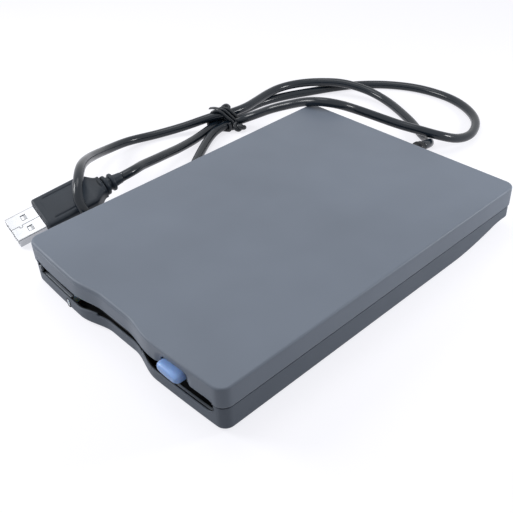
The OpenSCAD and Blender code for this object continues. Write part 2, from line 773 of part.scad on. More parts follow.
// connectors of the two boards, one above the other
link_x = 1 - usb_x;
link_w = 8;
link_h = 1.9;
module board_chips() {
    z = main_z + main_t;
    color(black_plastic) {
        box(main_left + 4.5, main_left + 13.5, lever_y + 6.5, lever_y + 15, z, z + 1.4);
        box(main_right - 8, main_right - 2, lever_y - 0.8, lever_y + 5.6, z, z + 1.2);
        box(main_left + 0.8, main_left + 3.6, lever_y + 7, lever_y + 11, z, z + 1);
        box(main_right - 8.5, main_right - 5.5, main_front + 2, main_front + 4, z, z + 0.9);
    }
    color("#efe9d8") box(link_x, link_x + link_w, main_rear - 3.4, main_rear - 0.4, z, z + link_h);
}
module track_sensor() {
    z = main_z + main_t;
    color("#1f2226") difference() {
        box(main_right - 5.5, main_right - 0.4, block_y + 3.5, block_y + 8.5, z, 8.2);
        box(main_right - 3.6, main_right + 1, block_y + 3, block_y + 9, 5.5, 7);
    }
}
usb_t = 0.8;
module usb_board() {
    color(green_board) difference() {
        box(-usb_x, usb_x, usb_y, usb_y + usb_l, usb_z, usb_z + usb_t);
        box(relief_x - 6, relief_x + 6, usb_y + 6.4, rear_y + 1.5, usb_z - 1, usb_z + 3);
    }
}
module usb_chips() {
    z = usb_z + usb_t;
    color(black_plastic) {
        box(10, 18, usb_y + 1.2, usb_y + 9, z, z + 1.4);
        box(-20, -16, usb_y + 4, usb_y + 8, z, z + 1.2);
    }
    color(steel) box(usb_x - 12, usb_x - 4, usb_y + 2.5, usb_y + 6, z, z + 2.6);
    color("#efe9d8") box(relief_x - 10, relief_x + 6.5, usb_y + 0.8, usb_y + 3.6, z, z + 2.2);
    color("#efe9d8") box(link_x, link_x + link_w, usb_y + 0.4, usb_y + 3, z, z + link_h);
}
// flat cable from the main board's connector up to the rear board
module flat_cable() {
    z0 = main_z + main_t + link_h;
    z1 = usb_z + usb_t + link_h;
    x0 = link_x + 0.8;
    x1 = link_x + link_w - 0.8;
    turn_y = usb_y - 1;
    color("#dfe3e8") {
        box(x0, x1, main_rear - 2.6, turn_y, z0, z0 + 0.2);
        box(x0, x1, turn_y - 0.2, turn_y, z0, z1 + 0.2);
        box(x0, x1, turn_y - 0.2, usb_y + 1.6, z1, z1 + 0.2);
    }
}

// ---- lead ------------------------------------------------------------------

module cable_relief() {
    color(black_plastic) translate([relief_x, rear_y, relief_z]) rotate([-90, 0, 0]) {
                intersection() {
                    translate([0, 0, -4.9]) cylinder(r = 4.4, h = 2);
                    translate([-6, -10, -6]) cube([12, 11.3, 5]);
                }
                translate([0, 0, -3]) cylinder(r = 3.1, h = 3.5);
                cylinder(r1 = 3.1, r2 = 2.45, h = relief_l);
                for (i = [0:4]) translate([0, 0, 1 + i * 3]) cylinder(r = 3.6 - i * 0.16, h = 1.7);
    }
}
// pose of the plug: lying rolled on its lower right edge, tip to the front
plug_at = [-75.6, -53.4, 6.25];
plug_turn = -8;
plug_tip = 8.5;
plug_roll = 21;
plug_back = 36;
module at_plug() translate(plug_at) rotate([0, 0, plug_turn]) rotate([plug_tip, 0, 0])
    rotate([0, plug_roll, 0]) children();
mould_l = 24.5;
mould_h = 8.4;
module plug_overmould() {
    color("#353d45") at_plug() difference() {
        union() {
            loft([oblong(mould_w - 1.6, mould_h - 1.6, 1.2, 0, 0),
                  oblong(mould_w - 0.5, mould_h - 0.5, 1.6, 0.35, 0),
                  oblong(mould_w, mould_h, 1.8, 1.1, 0),
                  oblong(mould_w, mould_h, 1.8, mould_l - 3.4, 0),
                  oblong(mould_w - 1.6, mould_h - 0.3, 1.8, mould_l - 1.6, 0),
                  oblong(mould_w - 6.5, mould_h - 1.2, 1.8, mould_l + 1.6, 0)]);
            translate([0, mould_l, 0]) rotate([-90, 0, 0])
                cylinder(r1 = 3.4, r2 = 2.4, h = plug_back - mould_l - 1);
            translate([0, plug_back - 1 - eps, 0]) rotate([-90, 0, 0])
                cylinder(r = 2.4, h = 1);
            for (y = [28.6, 32.2]) translate([0, y, 0]) rotate([-90, 0, 0])
                cylinder(r = y < 30 ? 4 : 3.7, h = 1.7);
        }
    }
}
module plug_shell() {
    color("#d9dadb") at_plug() difference() {
        translate([-plug_w / 2, -plug_l, -plug_h / 2]) cube([plug_w, plug_l, plug_h]);
        translate([-plug_w / 2 + 0.3, -plug_l - 1, -plug_h / 2 + 0.3])
            cube([plug_w - 0.6, plug_l + 2, plug_h - 0.6]);
        for (x = [-2.9, 2.9]) translate([x - 1.2, -7.4, 0]) cube([2.4, 2.2, 9]);
    }
}
module plug_tongue() {
    color("#e9e9e6") at_plug()
        translate([-plug_w / 2 + 0.32, -plug_l + 0.6, -plug_h / 2 + 0.32])
            cube([plug_w - 0.64, plug_l - 0.6, 1.9]);
}
module plug_contacts() {
    color("#d8b25a") at_plug() for (x = [-3.5, -1, 1, 3.5])
        translate([x - 0.5, -plug_l + 1.6, -plug_h / 2 + 2.22]) cube([1, 8.5, 0.15]);
}

// route of the cord from the relief round both loops to the plug
cord_route = [
    [-2.5, 90, 7], [-2.7, 94.6, 6.2], [-4.8, 99.2, 4.3], [-9.6, 103.4, 2.7], [-17, 108, 2.1],
    [-27, 114, 2.1], [-44, 121.5, 2.3], [-57, 123, 3.8], [-66, 120, 5.7], [-73, 116.3, 6.7],
    [-79.5, 111.8, 6.7], [-85.2, 106, 6.7], [-89.5, 99, 6.6], [-91.5, 91, 6.6],
    [-91, 82.5, 6.6], [-89.4, 74, 6.6], [-87.8, 65, 6.8], [-88.6, 56, 6.9], [-90.8, 50.5, 7.1],
    [-94, 45, 6], [-99.5, 36, 3.6], [-105, 24, 2.3], [-107.5, 10, 3.4], [-103.5, -4, 6.2],
    [-94.2, -17, 11.6], [-84, -26.6, 16.6], [-76.1, -32.9, 18.9], [-69.1, -38.2, 18.3],
    [-65.2, -41.4, 15.2], [-62, -41.9, 11], [-59.1, -39.8, 7.4], [-57, -35.5, 5.1],
    [-56.5, -28.2, 3.8], [-57, -18, 2.3], [-58.6, -6, 2.1], [-62, 5, 2.1], [-67.6, 15, 2.1],
    [-76.5, 27.5, 2.1], [-84, 39.5, 2.4], [-86.6, 47.4, 2.9], [-86, 55, 3.1],
    [-82.6, 60.2, 4.5], [-76.2, 63.4, 8], [-68.6, 65, 12.3], [-60.4, 68.5, 15.8],
    [-52.1, 70, 19.2], [-44.1, 72.2, 20.9], [-38.4, 77.5, 19.4], [-34.6, 84, 16],
    [-27.5, 88.7, 13.4], [-17.9, 93.3, 10.9], [-9, 96.9, 9.7], [-1.1, 101.9, 7.7],
    [2.3, 110.5, 4.3], [2.2, 121, 2.5], [-3.5, 133, 2.1], [-14, 141.5, 2.1], [-28, 146, 2.1],
    [-44.5, 145, 2.1], [-58.7, 138.8, 2.1], [-70.2, 129, 2.1], [-78, 117.5, 2.1],
    [-84.3, 105, 2.1], [-89.5, 94, 2.1], [-92.8, 83, 2.1], [-93.2, 73, 2.2], [-92.2, 63, 2.7],
    [-91.2, 55, 3], [-90.9, 49, 2.8], [-89.5, 41, 2.3], [-86.6, 31.5, 2.8], [-82.2, 19.3, 5],
    [-79.2, 10.8, 7], [-76.4, 2.5, 8.8], [-73.4, -6, 10.8], [-71.1, -10.4, 11.9],
    [-70.3, -14.2, 12.1], [-70.64, -18.14, 11.57]];
function unit(v) = v / norm(v);
function heading(i) = unit(cord_route[min(i + 1, len(cord_route) - 1)]
    - cord_route[max(i - 1, 0)]);
function side_of(d) = unit(cross(d, [0, 0, 1]));
module usb_cord() {
    sides = 8;
    r = cord_d / 2;
    color("#33393f") loft([for (i = [0:len(cord_route) - 1]) let (
            d = i == 0 ? [0, 1, 0] : heading(i),
            s = side_of(d),
            u = cross(s, d))
        [for (k = [0:sides - 1]) let (a = -360 / sides * k)
            cord_route[i] + r * (cos(a) * s + sin(a) * u)]]);
}
tie_y = 52.5;
tie_pitch = 1.7;
tie_low = [[-91.1, 3.05], [-86.2, 3.05]];
tie_top_z = 7.05;
// sideways place of the upper strand at each wrap
tie_top_x = [-89.3, -90, -90.7];
tie_left = -83.4;
// outline of one wrap round the three strands
module tie_outline(top_x, grow) {
    hull() for (p = concat(tie_low, [[top_x, tie_top_z]]))
        translate(p) circle(r = cord_d / 2 + grow);
}
module cord_tie() {
    color("#2a2d31") {
        for (i = [0:2]) translate([0, tie_y + tie_pitch + 0.55 - i * tie_pitch, 0])
            rotate([90, 0, 0]) linear_extrude(1.1) difference() {
                tie_outline(tie_top_x[i], 1);
                tie_outline(tie_top_x[i], 0.35);
            }
        // twisted end on the floor, and the short end on top
        translate([tie_left, tie_y + 1.2, 2]) {
            rotate([0, 90, 38]) cylinder(r = 0.9, h = 4.6);
            translate([3.6, 2.8, 0]) sphere(r = 1.5, $fn = 24);
        }
        translate([tie_top_x[2] - 0.6, tie_y - tie_pitch, 9.6]) rotate([0, 90, 194])
            cylinder(r = 0.7, h = 4.4);
    }
}

top_cover();
bottom_cover();
rubber_feet();
case_screws();
lamp_lens();
indicator_led();
dust_flap();
flap_spring();
eject_button();
slide_plate();
eject_springs();
disk_holder();
chassis();
shield_plate();
chassis_screws();
motor_board();
spindle_bearing();
stator_core();
spindle_rotor();
rotor_magnet();
spindle_hub();
drive_pin();
head_carriage();
lower_head();
screw_follower();
head_arm();
upper_head();
arm_spring();
guide_rods();
lead_screw();
stepper_motor();
trigger_lever();
trigger_spring();
sensor_boards();
sensor_blocks();
write_protect_plunger();
disk_in_plunger();
density_plunger();
main_board();
board_chips();
track_sensor();
usb_board();
usb_chips();
flat_cable();
cable_relief();
usb_cord();
cord_tie();
plug_overmould();
plug_shell();
plug_tongue();
plug_contacts();
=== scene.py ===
import bpy
import math
import numpy as np
from mathutils import Matrix


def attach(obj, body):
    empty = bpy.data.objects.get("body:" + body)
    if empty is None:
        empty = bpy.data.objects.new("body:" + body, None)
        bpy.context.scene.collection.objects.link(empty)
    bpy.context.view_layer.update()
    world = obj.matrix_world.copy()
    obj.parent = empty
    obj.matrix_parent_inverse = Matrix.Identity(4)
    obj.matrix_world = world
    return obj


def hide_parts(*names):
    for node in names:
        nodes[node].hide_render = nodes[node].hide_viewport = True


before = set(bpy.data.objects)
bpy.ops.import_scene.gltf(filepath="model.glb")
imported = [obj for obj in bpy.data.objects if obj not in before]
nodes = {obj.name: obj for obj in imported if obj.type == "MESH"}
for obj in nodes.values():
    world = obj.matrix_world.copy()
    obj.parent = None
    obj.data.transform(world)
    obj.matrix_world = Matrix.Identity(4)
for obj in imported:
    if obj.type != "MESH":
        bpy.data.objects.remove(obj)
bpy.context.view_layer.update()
mm = 0.001


# ---------- small helpers for numpy surfaces (all lengths in mm until they are put in a mesh)

def gridQuads(rows, cols, closeCols=False, offset=0, closeRows=False):
    # quads between neighbouring rows and columns of a point grid that is stored row by row
    r = np.arange(rows if closeRows else rows - 1)[:, None]
    c = np.arange(cols if closeCols else cols - 1)[None, :]
    r2, c2 = (r + 1) % rows, (c + 1) % cols
    a, b = r * cols + c, r * cols + c2
    d, e = r2 * cols + c, r2 * cols + c2
    return np.stack([a, b, e, d], axis=-1).reshape(-1, 4) + offset


def fanFaces(first, count, centre, forward=True):
    # triangles from a ring's neighbouring points, which start at first, to the point centre
    k = np.arange(count)
    a, b = first + k, first + (k + 1) % count
    pair = (a, b) if forward else (b, a)
    return np.stack([*pair, np.full(count, centre)], 1)


def cappedGrid(rows, cols, count, flip=False):
    # faces of a grid of closed rings whose end centres are the points count and count + 1
    return [gridQuads(rows, cols, closeCols=True), fanFaces(0, cols, count, flip),
            fanFaces((rows - 1) * cols, cols, count + 1, not flip)]


def superellipse(turn, a, b, power):
    # |x/a|^n + |z/b|^n = 1, one row for each a and b
    cs, sn = np.cos(turn), np.sin(turn)
    p = 2 / power
    return (a[:, None] * np.sign(cs) * np.abs(cs) ** p, b[:, None] * np.sign(sn) * np.abs(sn) ** p)


def addObject(name, data):
    obj = bpy.data.objects.new(name, data)
    bpy.context.scene.collection.objects.link(obj)
    return obj


def placeObject(obj, x, y, z, place):
    # the object's own axes and its origin, in the world
    m = Matrix.Identity(4)
    for row in range(3):
        m[row][0], m[row][1], m[row][2], m[row][3] = x[row], y[row], z[row], place[row]
    obj.matrix_world = m


def addMesh(name, parts, material, smooth=True, body="case", replaces=(), slot=None, uvs=None,
            autoAngle=None):
    # parts is a list of (points in mm, quads or triangles); they become one object at the origin
    points, faces, base = [], [], 0
    for pts, quads in parts:
        pts = np.asarray(pts, float).reshape(-1, 3)
        points.append(pts)
        for block in (quads if isinstance(quads, list) else [quads]):
            faces += (np.asarray(block) + base).tolist()
        base += len(pts)
    mesh = bpy.data.meshes.new(name)
    mesh.from_pydata((np.concatenate(points) * mm).tolist(), [], faces)
    if uvs is not None:
        layer = mesh.uv_layers.new(name="UVMap")
        loopVerts = np.zeros(len(mesh.loops), dtype=np.int32)
        mesh.loops.foreach_get("vertex_index", loopVerts)
        layer.data.foreach_set("uv", np.asarray(uvs, float)[loopVerts].ravel())
    mesh.validate()
    mesh.update()
    obj = addObject(name, mesh)
    mesh.materials.append(material)
    mesh.polygons.foreach_set("use_smooth", [smooth] * len(mesh.polygons))
    if autoAngle is not None:
        mesh.set_sharp_from_angle(angle=math.radians(autoAngle))
    if replaces:
        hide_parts(*replaces)
    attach(obj, body)
    return obj


def addModifier(obj, kind, name, **values):
    modifier = obj.modifiers.new(name, kind)
    for key, value in values.items():
        setattr(modifier, key, value)
    return modifier


def smoothStep(t):
    # 0 below 0, 1 above 1 and 3t^2 - 2t^3 between
    t = np.clip(t, 0, 1)
    return t * t * (3 - 2 * t)


def quarterRound(t):
    # height of a quarter circle: 0 and steep at 0, 1 and level at 1
    return np.sqrt(np.clip(1 - (1 - np.clip(t, 0, 1)) ** 2, 0, 1))


def crossAxes(axis):
    # two unit directions across a unit axis
    helper = np.array([0, 0, 1.0]) if abs(axis[2]) < 0.9 else np.array([1.0, 0, 0])
    u = np.cross(helper, axis)
    u /= np.linalg.norm(u)
    return u, np.cross(axis, u)


def latheParts(profile, origin, axis, sides=40, capEnds=True):
    # surface of revolution: each profile point (radius, distance along the axis) turns round the axis
    profile = np.asarray(profile, float)
    axis = np.asarray(axis, float) / np.linalg.norm(axis)
    u, v = crossAxes(axis)
    turn = np.linspace(0, 2 * np.pi, sides, endpoint=False)
    ring = np.cos(turn)[:, None] * u + np.sin(turn)[:, None] * v
    pts = np.asarray(origin, float) + profile[:, None, 1:2] * axis + profile[:, None, 0:1] * ring[None]
    faces = [gridQuads(len(profile), sides, closeCols=True)]
    pts = pts.reshape(-1, 3)
    if capEnds:
        faces = cappedGrid(len(profile), sides, len(pts))
        ends = np.asarray(origin) + profile[[0, -1], 1][:, None] * axis
        pts = np.vstack([pts, ends])
    return pts, faces


def pathFrames(path):
    # unit tangents of a path, and two unit normals carried along it without twist
    path = np.asarray(path, float)
    tangent = np.gradient(path, axis=0)
    tangent /= np.linalg.norm(tangent, axis=1)[:, None]
    normal = np.zeros_like(path)
    start = np.cross(tangent[0], [0, 0, 1.0])
    if np.linalg.norm(start) < 1e-3:
        start = np.cross(tangent[0], [1.0, 0, 0])
    normal[0] = start / np.linalg.norm(start)
    for i in range(1, len(path)):
        n = normal[i - 1] - tangent[i] * (normal[i - 1] @ tangent[i])
        normal[i] = n / np.linalg.norm(n)
    return tangent, normal, np.cross(tangent, normal)


def sweepParts(path, section):
    # a closed section (x, y) is carried along the path, and both ends are closed
    path = np.asarray(path, float)
    section = np.asarray(section, float)
    _, n, b = pathFrames(path)
    pts = path[:, None] + section[None, :, 0:1] * n[:, None] + section[None, :, 1:2] * b[:, None]
    faces = cappedGrid(len(path), len(section), len(path) * len(section))
    return np.vstack([pts.reshape(-1, 3), path[0], path[-1]]), faces


def circleSection(radius, sides):
    t = -np.linspace(0, 2 * np.pi, sides, endpoint=False)
    return np.stack([radius * np.cos(t), radius * np.sin(t)], 1)


def smoothPath(points, perSpan=8):
    # Catmull-Rom curve through the points: each span is a cubic with slopes from its neighbours
    p = np.asarray(points, float)
    ext = np.vstack([2 * p[0] - p[1], p, 2 * p[-1] - p[-2]])
    t = np.linspace(0, 1, perSpan, endpoint=False)[:, None]
    out = []
    for i in range(len(p) - 1):
        a, b, c, d = ext[i], ext[i + 1], ext[i + 2], ext[i + 3]
        out.append(0.5 * (2 * b + (c - a) * t + (2 * a - 5 * b + 4 * c - d) * t ** 2
                          + (3 * b - a - 3 * c + d) * t ** 3))
    return np.vstack(out + [p[-1:]])


def evenPath(path, step):
    # the same curve with points at equal distances
    path = np.asarray(path, float)
    run = np.concatenate([[0], np.cumsum(np.linalg.norm(np.diff(path, axis=0), axis=1))])
    s = np.linspace(0, run[-1], max(2, int(round(run[-1] / step)) + 1))
    return np.stack([np.interp(s, run, path[:, k]) for k in range(3)], 1)


# ---------- materials, all from nodes on Object coordinates

def newMaterial(name):
    mat = bpy.data.materials.new(name)
    mat.use_nodes = True
    mat.node_tree.nodes.clear()
    out = mat.node_tree.nodes.new("ShaderNodeOutputMaterial")
    bsdf = mat.node_tree.nodes.new("ShaderNodeBsdfPrincipled")
    mat.node_tree.links.new(bsdf.outputs[0], out.inputs[0])
    return mat, mat.node_tree, bsdf


def setInputs(node, values):
    for key, value in values.items():
        node.inputs[key].default_value = value


def noiseNode(tree, vector, scale, detail=3.0, rough=0.5):
    n = tree.nodes.new("ShaderNodeTexNoise")
    setInputs(n, {"Scale": scale, "Detail": detail, "Roughness": rough})
    tree.links.new(vector, n.inputs["Vector"])
    return n.outputs["Fac"]


def rampNode(tree, fac, stops):
    r = tree.nodes.new("ShaderNodeValToRGB")
    for e, (pos, color) in zip(r.color_ramp.elements, stops):
        e.position = pos
        e.color = (*color, 1)
    tree.links.new(fac, r.inputs[0])
    return r.outputs[0]


def rangeNode(tree, fac, low, high):
    m = tree.nodes.new("ShaderNodeMapRange")
    setInputs(m, {"To Min": low, "To Max": high})
    tree.links.new(fac, m.inputs["Value"])
    return m.outputs[0]


def bumpNode(tree, height, strength, distance):
    b = tree.nodes.new("ShaderNodeBump")
    setInputs(b, {"Strength": strength, "Distance": distance})
    tree.links.new(height, b.inputs["Height"])
    return b.outputs[0]


def linear(rgb):
    # sRGB 0..255 to linear 0..1
    c = np.asarray(rgb, float) / 255
    return tuple(np.where(c <= 0.04045, c / 12.92, ((c + 0.055) / 1.055) ** 2.4).tolist())


def objectCoords(tree, stretch=None):
    coords = tree.nodes.new("ShaderNodeTexCoord").outputs["Object"]
    if stretch is None:
        return coords
    m = tree.nodes.new("ShaderNodeMapping")
    m.inputs["Scale"].default_value = stretch
    tree.links.new(coords, m.inputs["Vector"])
    return m.outputs[0]


def plastic(name, rgb, rough=0.5, grain=0.02, grainScale=5200, shift=0.06, coat=0.0, specular=0.5,
            sss=0.0):
    # moulded plastic: fine spark-eroded grain, faint flow shading and slightly uneven gloss
    mat, tree, bsdf = newMaterial(name)
    coords = objectCoords(tree)
    base = np.array(linear(rgb))
    flow = noiseNode(tree, coords, 28, 2.0)
    color = rampNode(tree, flow, [(0.3, tuple(base * (1 - shift))), (0.7, tuple(base * (1 + shift)))])
    tree.links.new(color, bsdf.inputs["Base Color"])
    fine = noiseNode(tree, coords, grainScale, 2.0, 0.6)
    gloss = noiseNode(tree, coords, 90, 3.0)
    tree.links.new(rangeNode(tree, gloss, rough - 0.05, rough + 0.05), bsdf.inputs["Roughness"])
    tree.links.new(bumpNode(tree, fine, grain, 0.0004), bsdf.inputs["Normal"])
    setInputs(bsdf, {"Specular IOR Level": specular, "Coat Weight": coat, "Coat Roughness": 0.25,
                     "Subsurface Weight": sss})
    return mat


def metal(name, rgb, rough=0.3, brush=None, scratch=0.12, shift=0.08):
    # worked metal: brushed lines along one axis, cloudy gloss and light handling marks
    mat, tree, bsdf = newMaterial(name)
    coords = objectCoords(tree, brush)
    plain = objectCoords(tree)
    base = np.array(linear(rgb))
    lines = noiseNode(tree, coords, 900, 4.0, 0.7)
    clouds = noiseNode(tree, plain, 60, 3.0)
    color = rampNode(tree, clouds, [(0.3, tuple(base * (1 - shift))), (0.7, tuple(base))])
    tree.links.new(color, bsdf.inputs["Base Color"])
    bsdf.inputs["Metallic"].default_value = 1.0
    tree.links.new(rangeNode(tree, lines, rough - 0.06, rough + 0.1), bsdf.inputs["Roughness"])
    tree.links.new(bumpNode(tree, lines, scratch, 0.00005), bsdf.inputs["Normal"])
    return mat


def circuitBoard(name, rgb, track):
    # solder mask over copper tracks: bands of a stepped brick pattern show lighter, a little raised
    mat, tree, bsdf = newMaterial(name)
    coords = objectCoords(tree)
    brick = tree.nodes.new("ShaderNodeTexBrick")
    setInputs(brick, {"Scale": 260, "Mortar Size": 0.025, "Color1": (*linear(rgb), 1),
                      "Color2": (*[c * 0.85 for c in linear(rgb)], 1), "Mortar": (*linear(track), 1)})
    tree.links.new(coords, brick.inputs["Vector"])
    tree.links.new(brick.outputs["Color"], bsdf.inputs["Base Color"])
    tree.links.new(bumpNode(tree, brick.outputs["Fac"], 0.25, 0.00008), bsdf.inputs["Normal"])
    bsdf.inputs["Roughness"].default_value = 0.32
    return mat


finishes = {
    "upper": plastic("upperShellPlastic", (118, 127, 141), rough=0.44, grain=0.05, specular=0.26),
    # same plastic as the upper shell; the darker base is painted shade of the lower half
    "lower": plastic("lowerShellShadedPlastic", (100, 108, 120), rough=0.52, grain=0.06, specular=0.2),
    "button": plastic("buttonPlastic", (150, 187, 250), rough=0.32, grain=0.01, shift=0.03,
                      specular=0.35, sss=0.1),
    "flap": plastic("flapPlastic", (33, 36, 41), rough=0.5, grain=0.04, specular=0.2),
    "cord": plastic("cordJacket", (20, 31, 42), rough=0.2, grain=0.03, grainScale=2600, shift=0.08,
                    specular=0.42),
    "mould": plastic("plugMoulding", (42, 50, 60), rough=0.4, grain=0.08, grainScale=3600,
                     shift=0.08, specular=0.3),
    "relief": plastic("reliefRubber", (20, 23, 28), rough=0.35, grain=0.06, specular=0.25),
    "tie": plastic("tiePlastic", (24, 31, 39), rough=0.24, grain=0.03, shift=0.12, specular=0.5),
    "foot": plastic("footRubber", (52, 54, 58), rough=0.78, grain=0.16, grainScale=2200, specular=0.3),
    "rail": plastic("railPlastic", (126, 133, 143), rough=0.42, grain=0.04),
    "black": plastic("blackPlastic", (24, 25, 28), rough=0.5, grain=0.05, specular=0.2),
    "cream": plastic("naturalNylon", (226, 221, 206), rough=0.42, grain=0.03, sss=0.1),
    "white": plastic("whiteInsulator", (232, 232, 228), rough=0.38, grain=0.02, sss=0.1),
    "lens": plastic("lampLens", (232, 236, 244), rough=0.18, grain=0.005, shift=0.01, coat=0.6, sss=0.3),
    "chip": plastic("chipEpoxy", (38, 38, 41), rough=0.6, grain=0.12, grainScale=3000),
    "ceramic": plastic("headCeramic", (210, 204, 190), rough=0.25, grain=0.01),
    # grey of the seam strip: painted shade of the crack in the folded shell
    "seamShade": plastic("seamCrackShade", (128, 130, 134), rough=0.5, grain=0.02, specular=0.2),
    "magnet": plastic("bondedMagnet", (62, 62, 66), rough=0.7, grain=0.1),
    "film": plastic("cableFilm", (222, 226, 230), rough=0.4, grain=0.02),
    "sheet": metal("zincSheet", (190, 192, 194), 0.38, (1, 0.05, 1)),
    # chassis sheet darkened near to black: painted shade that keeps the inside seen through the slot dark; the
    # real sheet is bright plated steel
    "chassis": metal("chassisPaintedShade", (66, 68, 72), 0.5, (0.05, 1, 1)),
    "turned": metal("turnedSteel", (205, 206, 208), 0.22, (1, 6, 1)),
    "spring": metal("springSteel", (176, 178, 182), 0.3, (1, 1, 4)),
    "nickel": metal("nickelShell", (184, 186, 190), 0.24, (0.3, 0.02, 0.3), scratch=0.05, shift=0.03),
    "bronze": metal("sinteredBronze", (186, 148, 86), 0.45, None, 0.2),
    "copper": metal("enamelledCopper", (176, 96, 52), 0.3, (8, 1, 1), 0.3),
    "gold": metal("goldPlate", (226, 184, 104), 0.22, (1, 0.1, 1)),
    "board": circuitBoard("boardGreen", (24, 92, 48), (52, 128, 74)),
}
print("materials ready:", len(finishes))


# ---------- camera

camera = {"focal": 52.576, "place": (162.263, -152.452, 164.903), "yaw": 0.850, "pitch": 0.642, "roll": 0.055}


def makeCamera(c):
    yaw, pitch, roll = c["yaw"], c["pitch"], c["roll"]
    ahead = np.array([-math.sin(yaw) * math.cos(pitch), math.cos(yaw) * math.cos(pitch), -math.sin(pitch)])
    right = np.array([math.cos(yaw), math.sin(yaw), 0])
    down = np.cross(ahead, right)
    cs, sn = math.cos(roll), math.sin(roll)
    right, down = cs * right + sn * down, -sn * right + cs * down
    data = bpy.data.cameras.new("camera")
    data.lens, data.sensor_width, data.clip_start = c["focal"], 36, 0.01
    obj = addObject("camera", data)
    placeObject(obj, right, -down, -ahead, np.array(c["place"]) * mm)
    bpy.context.scene.camera = obj


makeCamera(camera)
print("camera placed")


# ---------- cord, tie and plug

cordShape = {"radius": 2.0, "sides": 24, "step": 1.2, "spread": 2.4}
cordRoute = [
    (-2.5, 90, 7), (-2.7, 94.6, 6.2), (-4.8, 99.2, 4.3), (-9.6, 103.4, 2.7), (-17, 108, 2.1),
    (-27, 114, 2.1), (-44, 121.5, 2.3), (-57, 123, 3.8), (-66, 120, 5.7), (-73, 116.3, 6.7),
    (-79.5, 111.8, 6.7), (-85.2, 106, 6.7), (-89.5, 99, 6.6), (-91.5, 91, 6.6),
    (-91, 82.5, 6.6), (-89.4, 74, 6.6), (-87.8, 65, 6.8), (-88.6, 56, 6.9), (-90.8, 50.5, 7.1),
    (-94, 45, 6), (-99.5, 36, 3.6), (-105, 24, 2.3), (-107.5, 10, 3.4), (-103.5, -4, 6.2),
    (-94.2, -17, 11.6), (-84, -26.6, 16.6), (-76.1, -32.9, 18.9), (-69.1, -38.2, 18.3),
    (-65.2, -41.4, 15.2), (-62, -41.9, 11), (-59.1, -39.8, 7.4), (-57, -35.5, 5.1),
    (-56.5, -28.2, 3.8), (-57, -18, 2.3), (-58.6, -6, 2.1), (-62, 5, 2.1), (-67.6, 15, 2.1),
    (-76.5, 27.5, 2.1), (-84, 39.5, 2.4), (-86.6, 47.4, 2.9), (-86, 55, 3.1),
    (-82.6, 60.2, 4.5), (-76.2, 63.4, 8), (-68.6, 65, 12.3), (-60.4, 68.5, 15.8),
    (-52.1, 70, 19.2), (-44.1, 72.2, 20.9), (-38.4, 77.5, 19.4), (-34.6, 84, 16),
    (-27.5, 88.7, 13.4), (-17.9, 93.3, 10.9), (-9, 96.9, 9.7), (-1.1, 101.9, 7.7),
    (2.3, 110.5, 4.3), (2.2, 121, 2.5), (-3.5, 133, 2.1), (-14, 141.5, 2.1), (-28, 146, 2.1),
    (-44.5, 145, 2.1), (-58.7, 138.8, 2.1), (-70.2, 129, 2.1), (-78, 117.5, 2.1),
    (-84.3, 105, 2.1), (-89.5, 94, 2.1), (-92.8, 83, 2.1), (-93.2, 73, 2.2), (-92.2, 63, 2.7),
    (-91.2, 55, 3), (-90.9, 49, 2.8), (-89.5, 41, 2.3), (-86.6, 31.5, 2.8), (-82.2, 19.3, 5),
    (-79.2, 10.8, 7), (-76.4, 2.5, 8.8), (-73.4, -6, 10.8), (-71.1, -10.4, 11.9),
    (-70.3, -14.2, 12.1), (-70.64, -18.14, 11.57)]


def makeCord(c):
    path = evenPath(smoothPath(cordRoute, 10), c["step"])
    # running mean with bell weights exp(-(s / spread)^2) that takes small waves out and keeps both ends
    reach = int(3 * c["spread"] / c["step"])
    weights = np.exp(-(np.arange(-reach, reach + 1) * c["step"] / c["spread"]) ** 2)
    padded = np.vstack([2 * path[0] - path[reach:0:-1], path, 2 * path[-1] - path[-2:-reach - 2:-1]])
    path = np.stack([np.convolve(padded[:, k], weights / weights.sum(), "valid") for k in range(3)], 1)
    path[:, 2] = np.maximum(path[:, 2], c["radius"] + 0.02)
    pts, faces = sweepParts(path, circleSection(c["radius"], c["sides"]))
    run = np.concatenate([[0], np.cumsum(np.linalg.norm(np.diff(path, axis=0), axis=1))])
    ring = np.linspace(0, 1, c["sides"], endpoint=False)
    uv = np.stack(np.broadcast_arrays(ring[None, :], run[:, None] / (2 * math.pi * c["radius"])),
                  -1).reshape(-1, 2)
    uv = np.vstack([uv, uv[:1], uv[-1:]])
    obj = addMesh("usbCord", [(pts, faces)], finishes["cord"], slot="cord_jacket", replaces=("usb_cord",),
                  uvs=uv)
    return obj, path, run[-1]


cordObject, cordPath, cordLength = makeCord(cordShape)
print("cord", round(cordLength, 1), "mm")

plugPose = {"place": (-75.6, -53.4, 6.25), "turn": -8, "tip": 8.5, "roll": 21}


def plugToWorld(points):
    # local plug points (x across, y back along the lead, z out of the face) to the part's frame
    a, b, c = (math.radians(plugPose[k]) for k in ("turn", "tip", "roll"))
    turn = np.array([[math.cos(a), -math.sin(a), 0], [math.sin(a), math.cos(a), 0], [0, 0, 1]])
    tip = np.array([[1, 0, 0], [0, math.cos(b), -math.sin(b)], [0, math.sin(b), math.cos(b)]])
    roll = np.array([[math.cos(c), 0, math.sin(c)], [0, 1, 0], [-math.sin(c), 0, math.cos(c)]])
    return np.asarray(points, float).reshape(-1, 3) @ (turn @ tip @ roll).T + np.array(plugPose["place"])


def roundedLoop(width, height, radius, perCorner=8):
    # rounded rectangle, anticlockwise from +x, as (x, z)
    a = np.linspace(0, np.pi / 2, perCorner)
    out = []
    for q, (sx, sz) in enumerate([(1, 1), (-1, 1), (-1, -1), (1, -1)]):
        t = a + q * np.pi / 2
        out.append(np.stack([sx * (width / 2 - radius) + radius * np.cos(t),
                             sz * (height / 2 - radius) + radius * np.sin(t)], 1))
    return np.vstack(out)


mouldShape = {"width": 15.6, "height": 8.4, "panelDepth": 0.35}


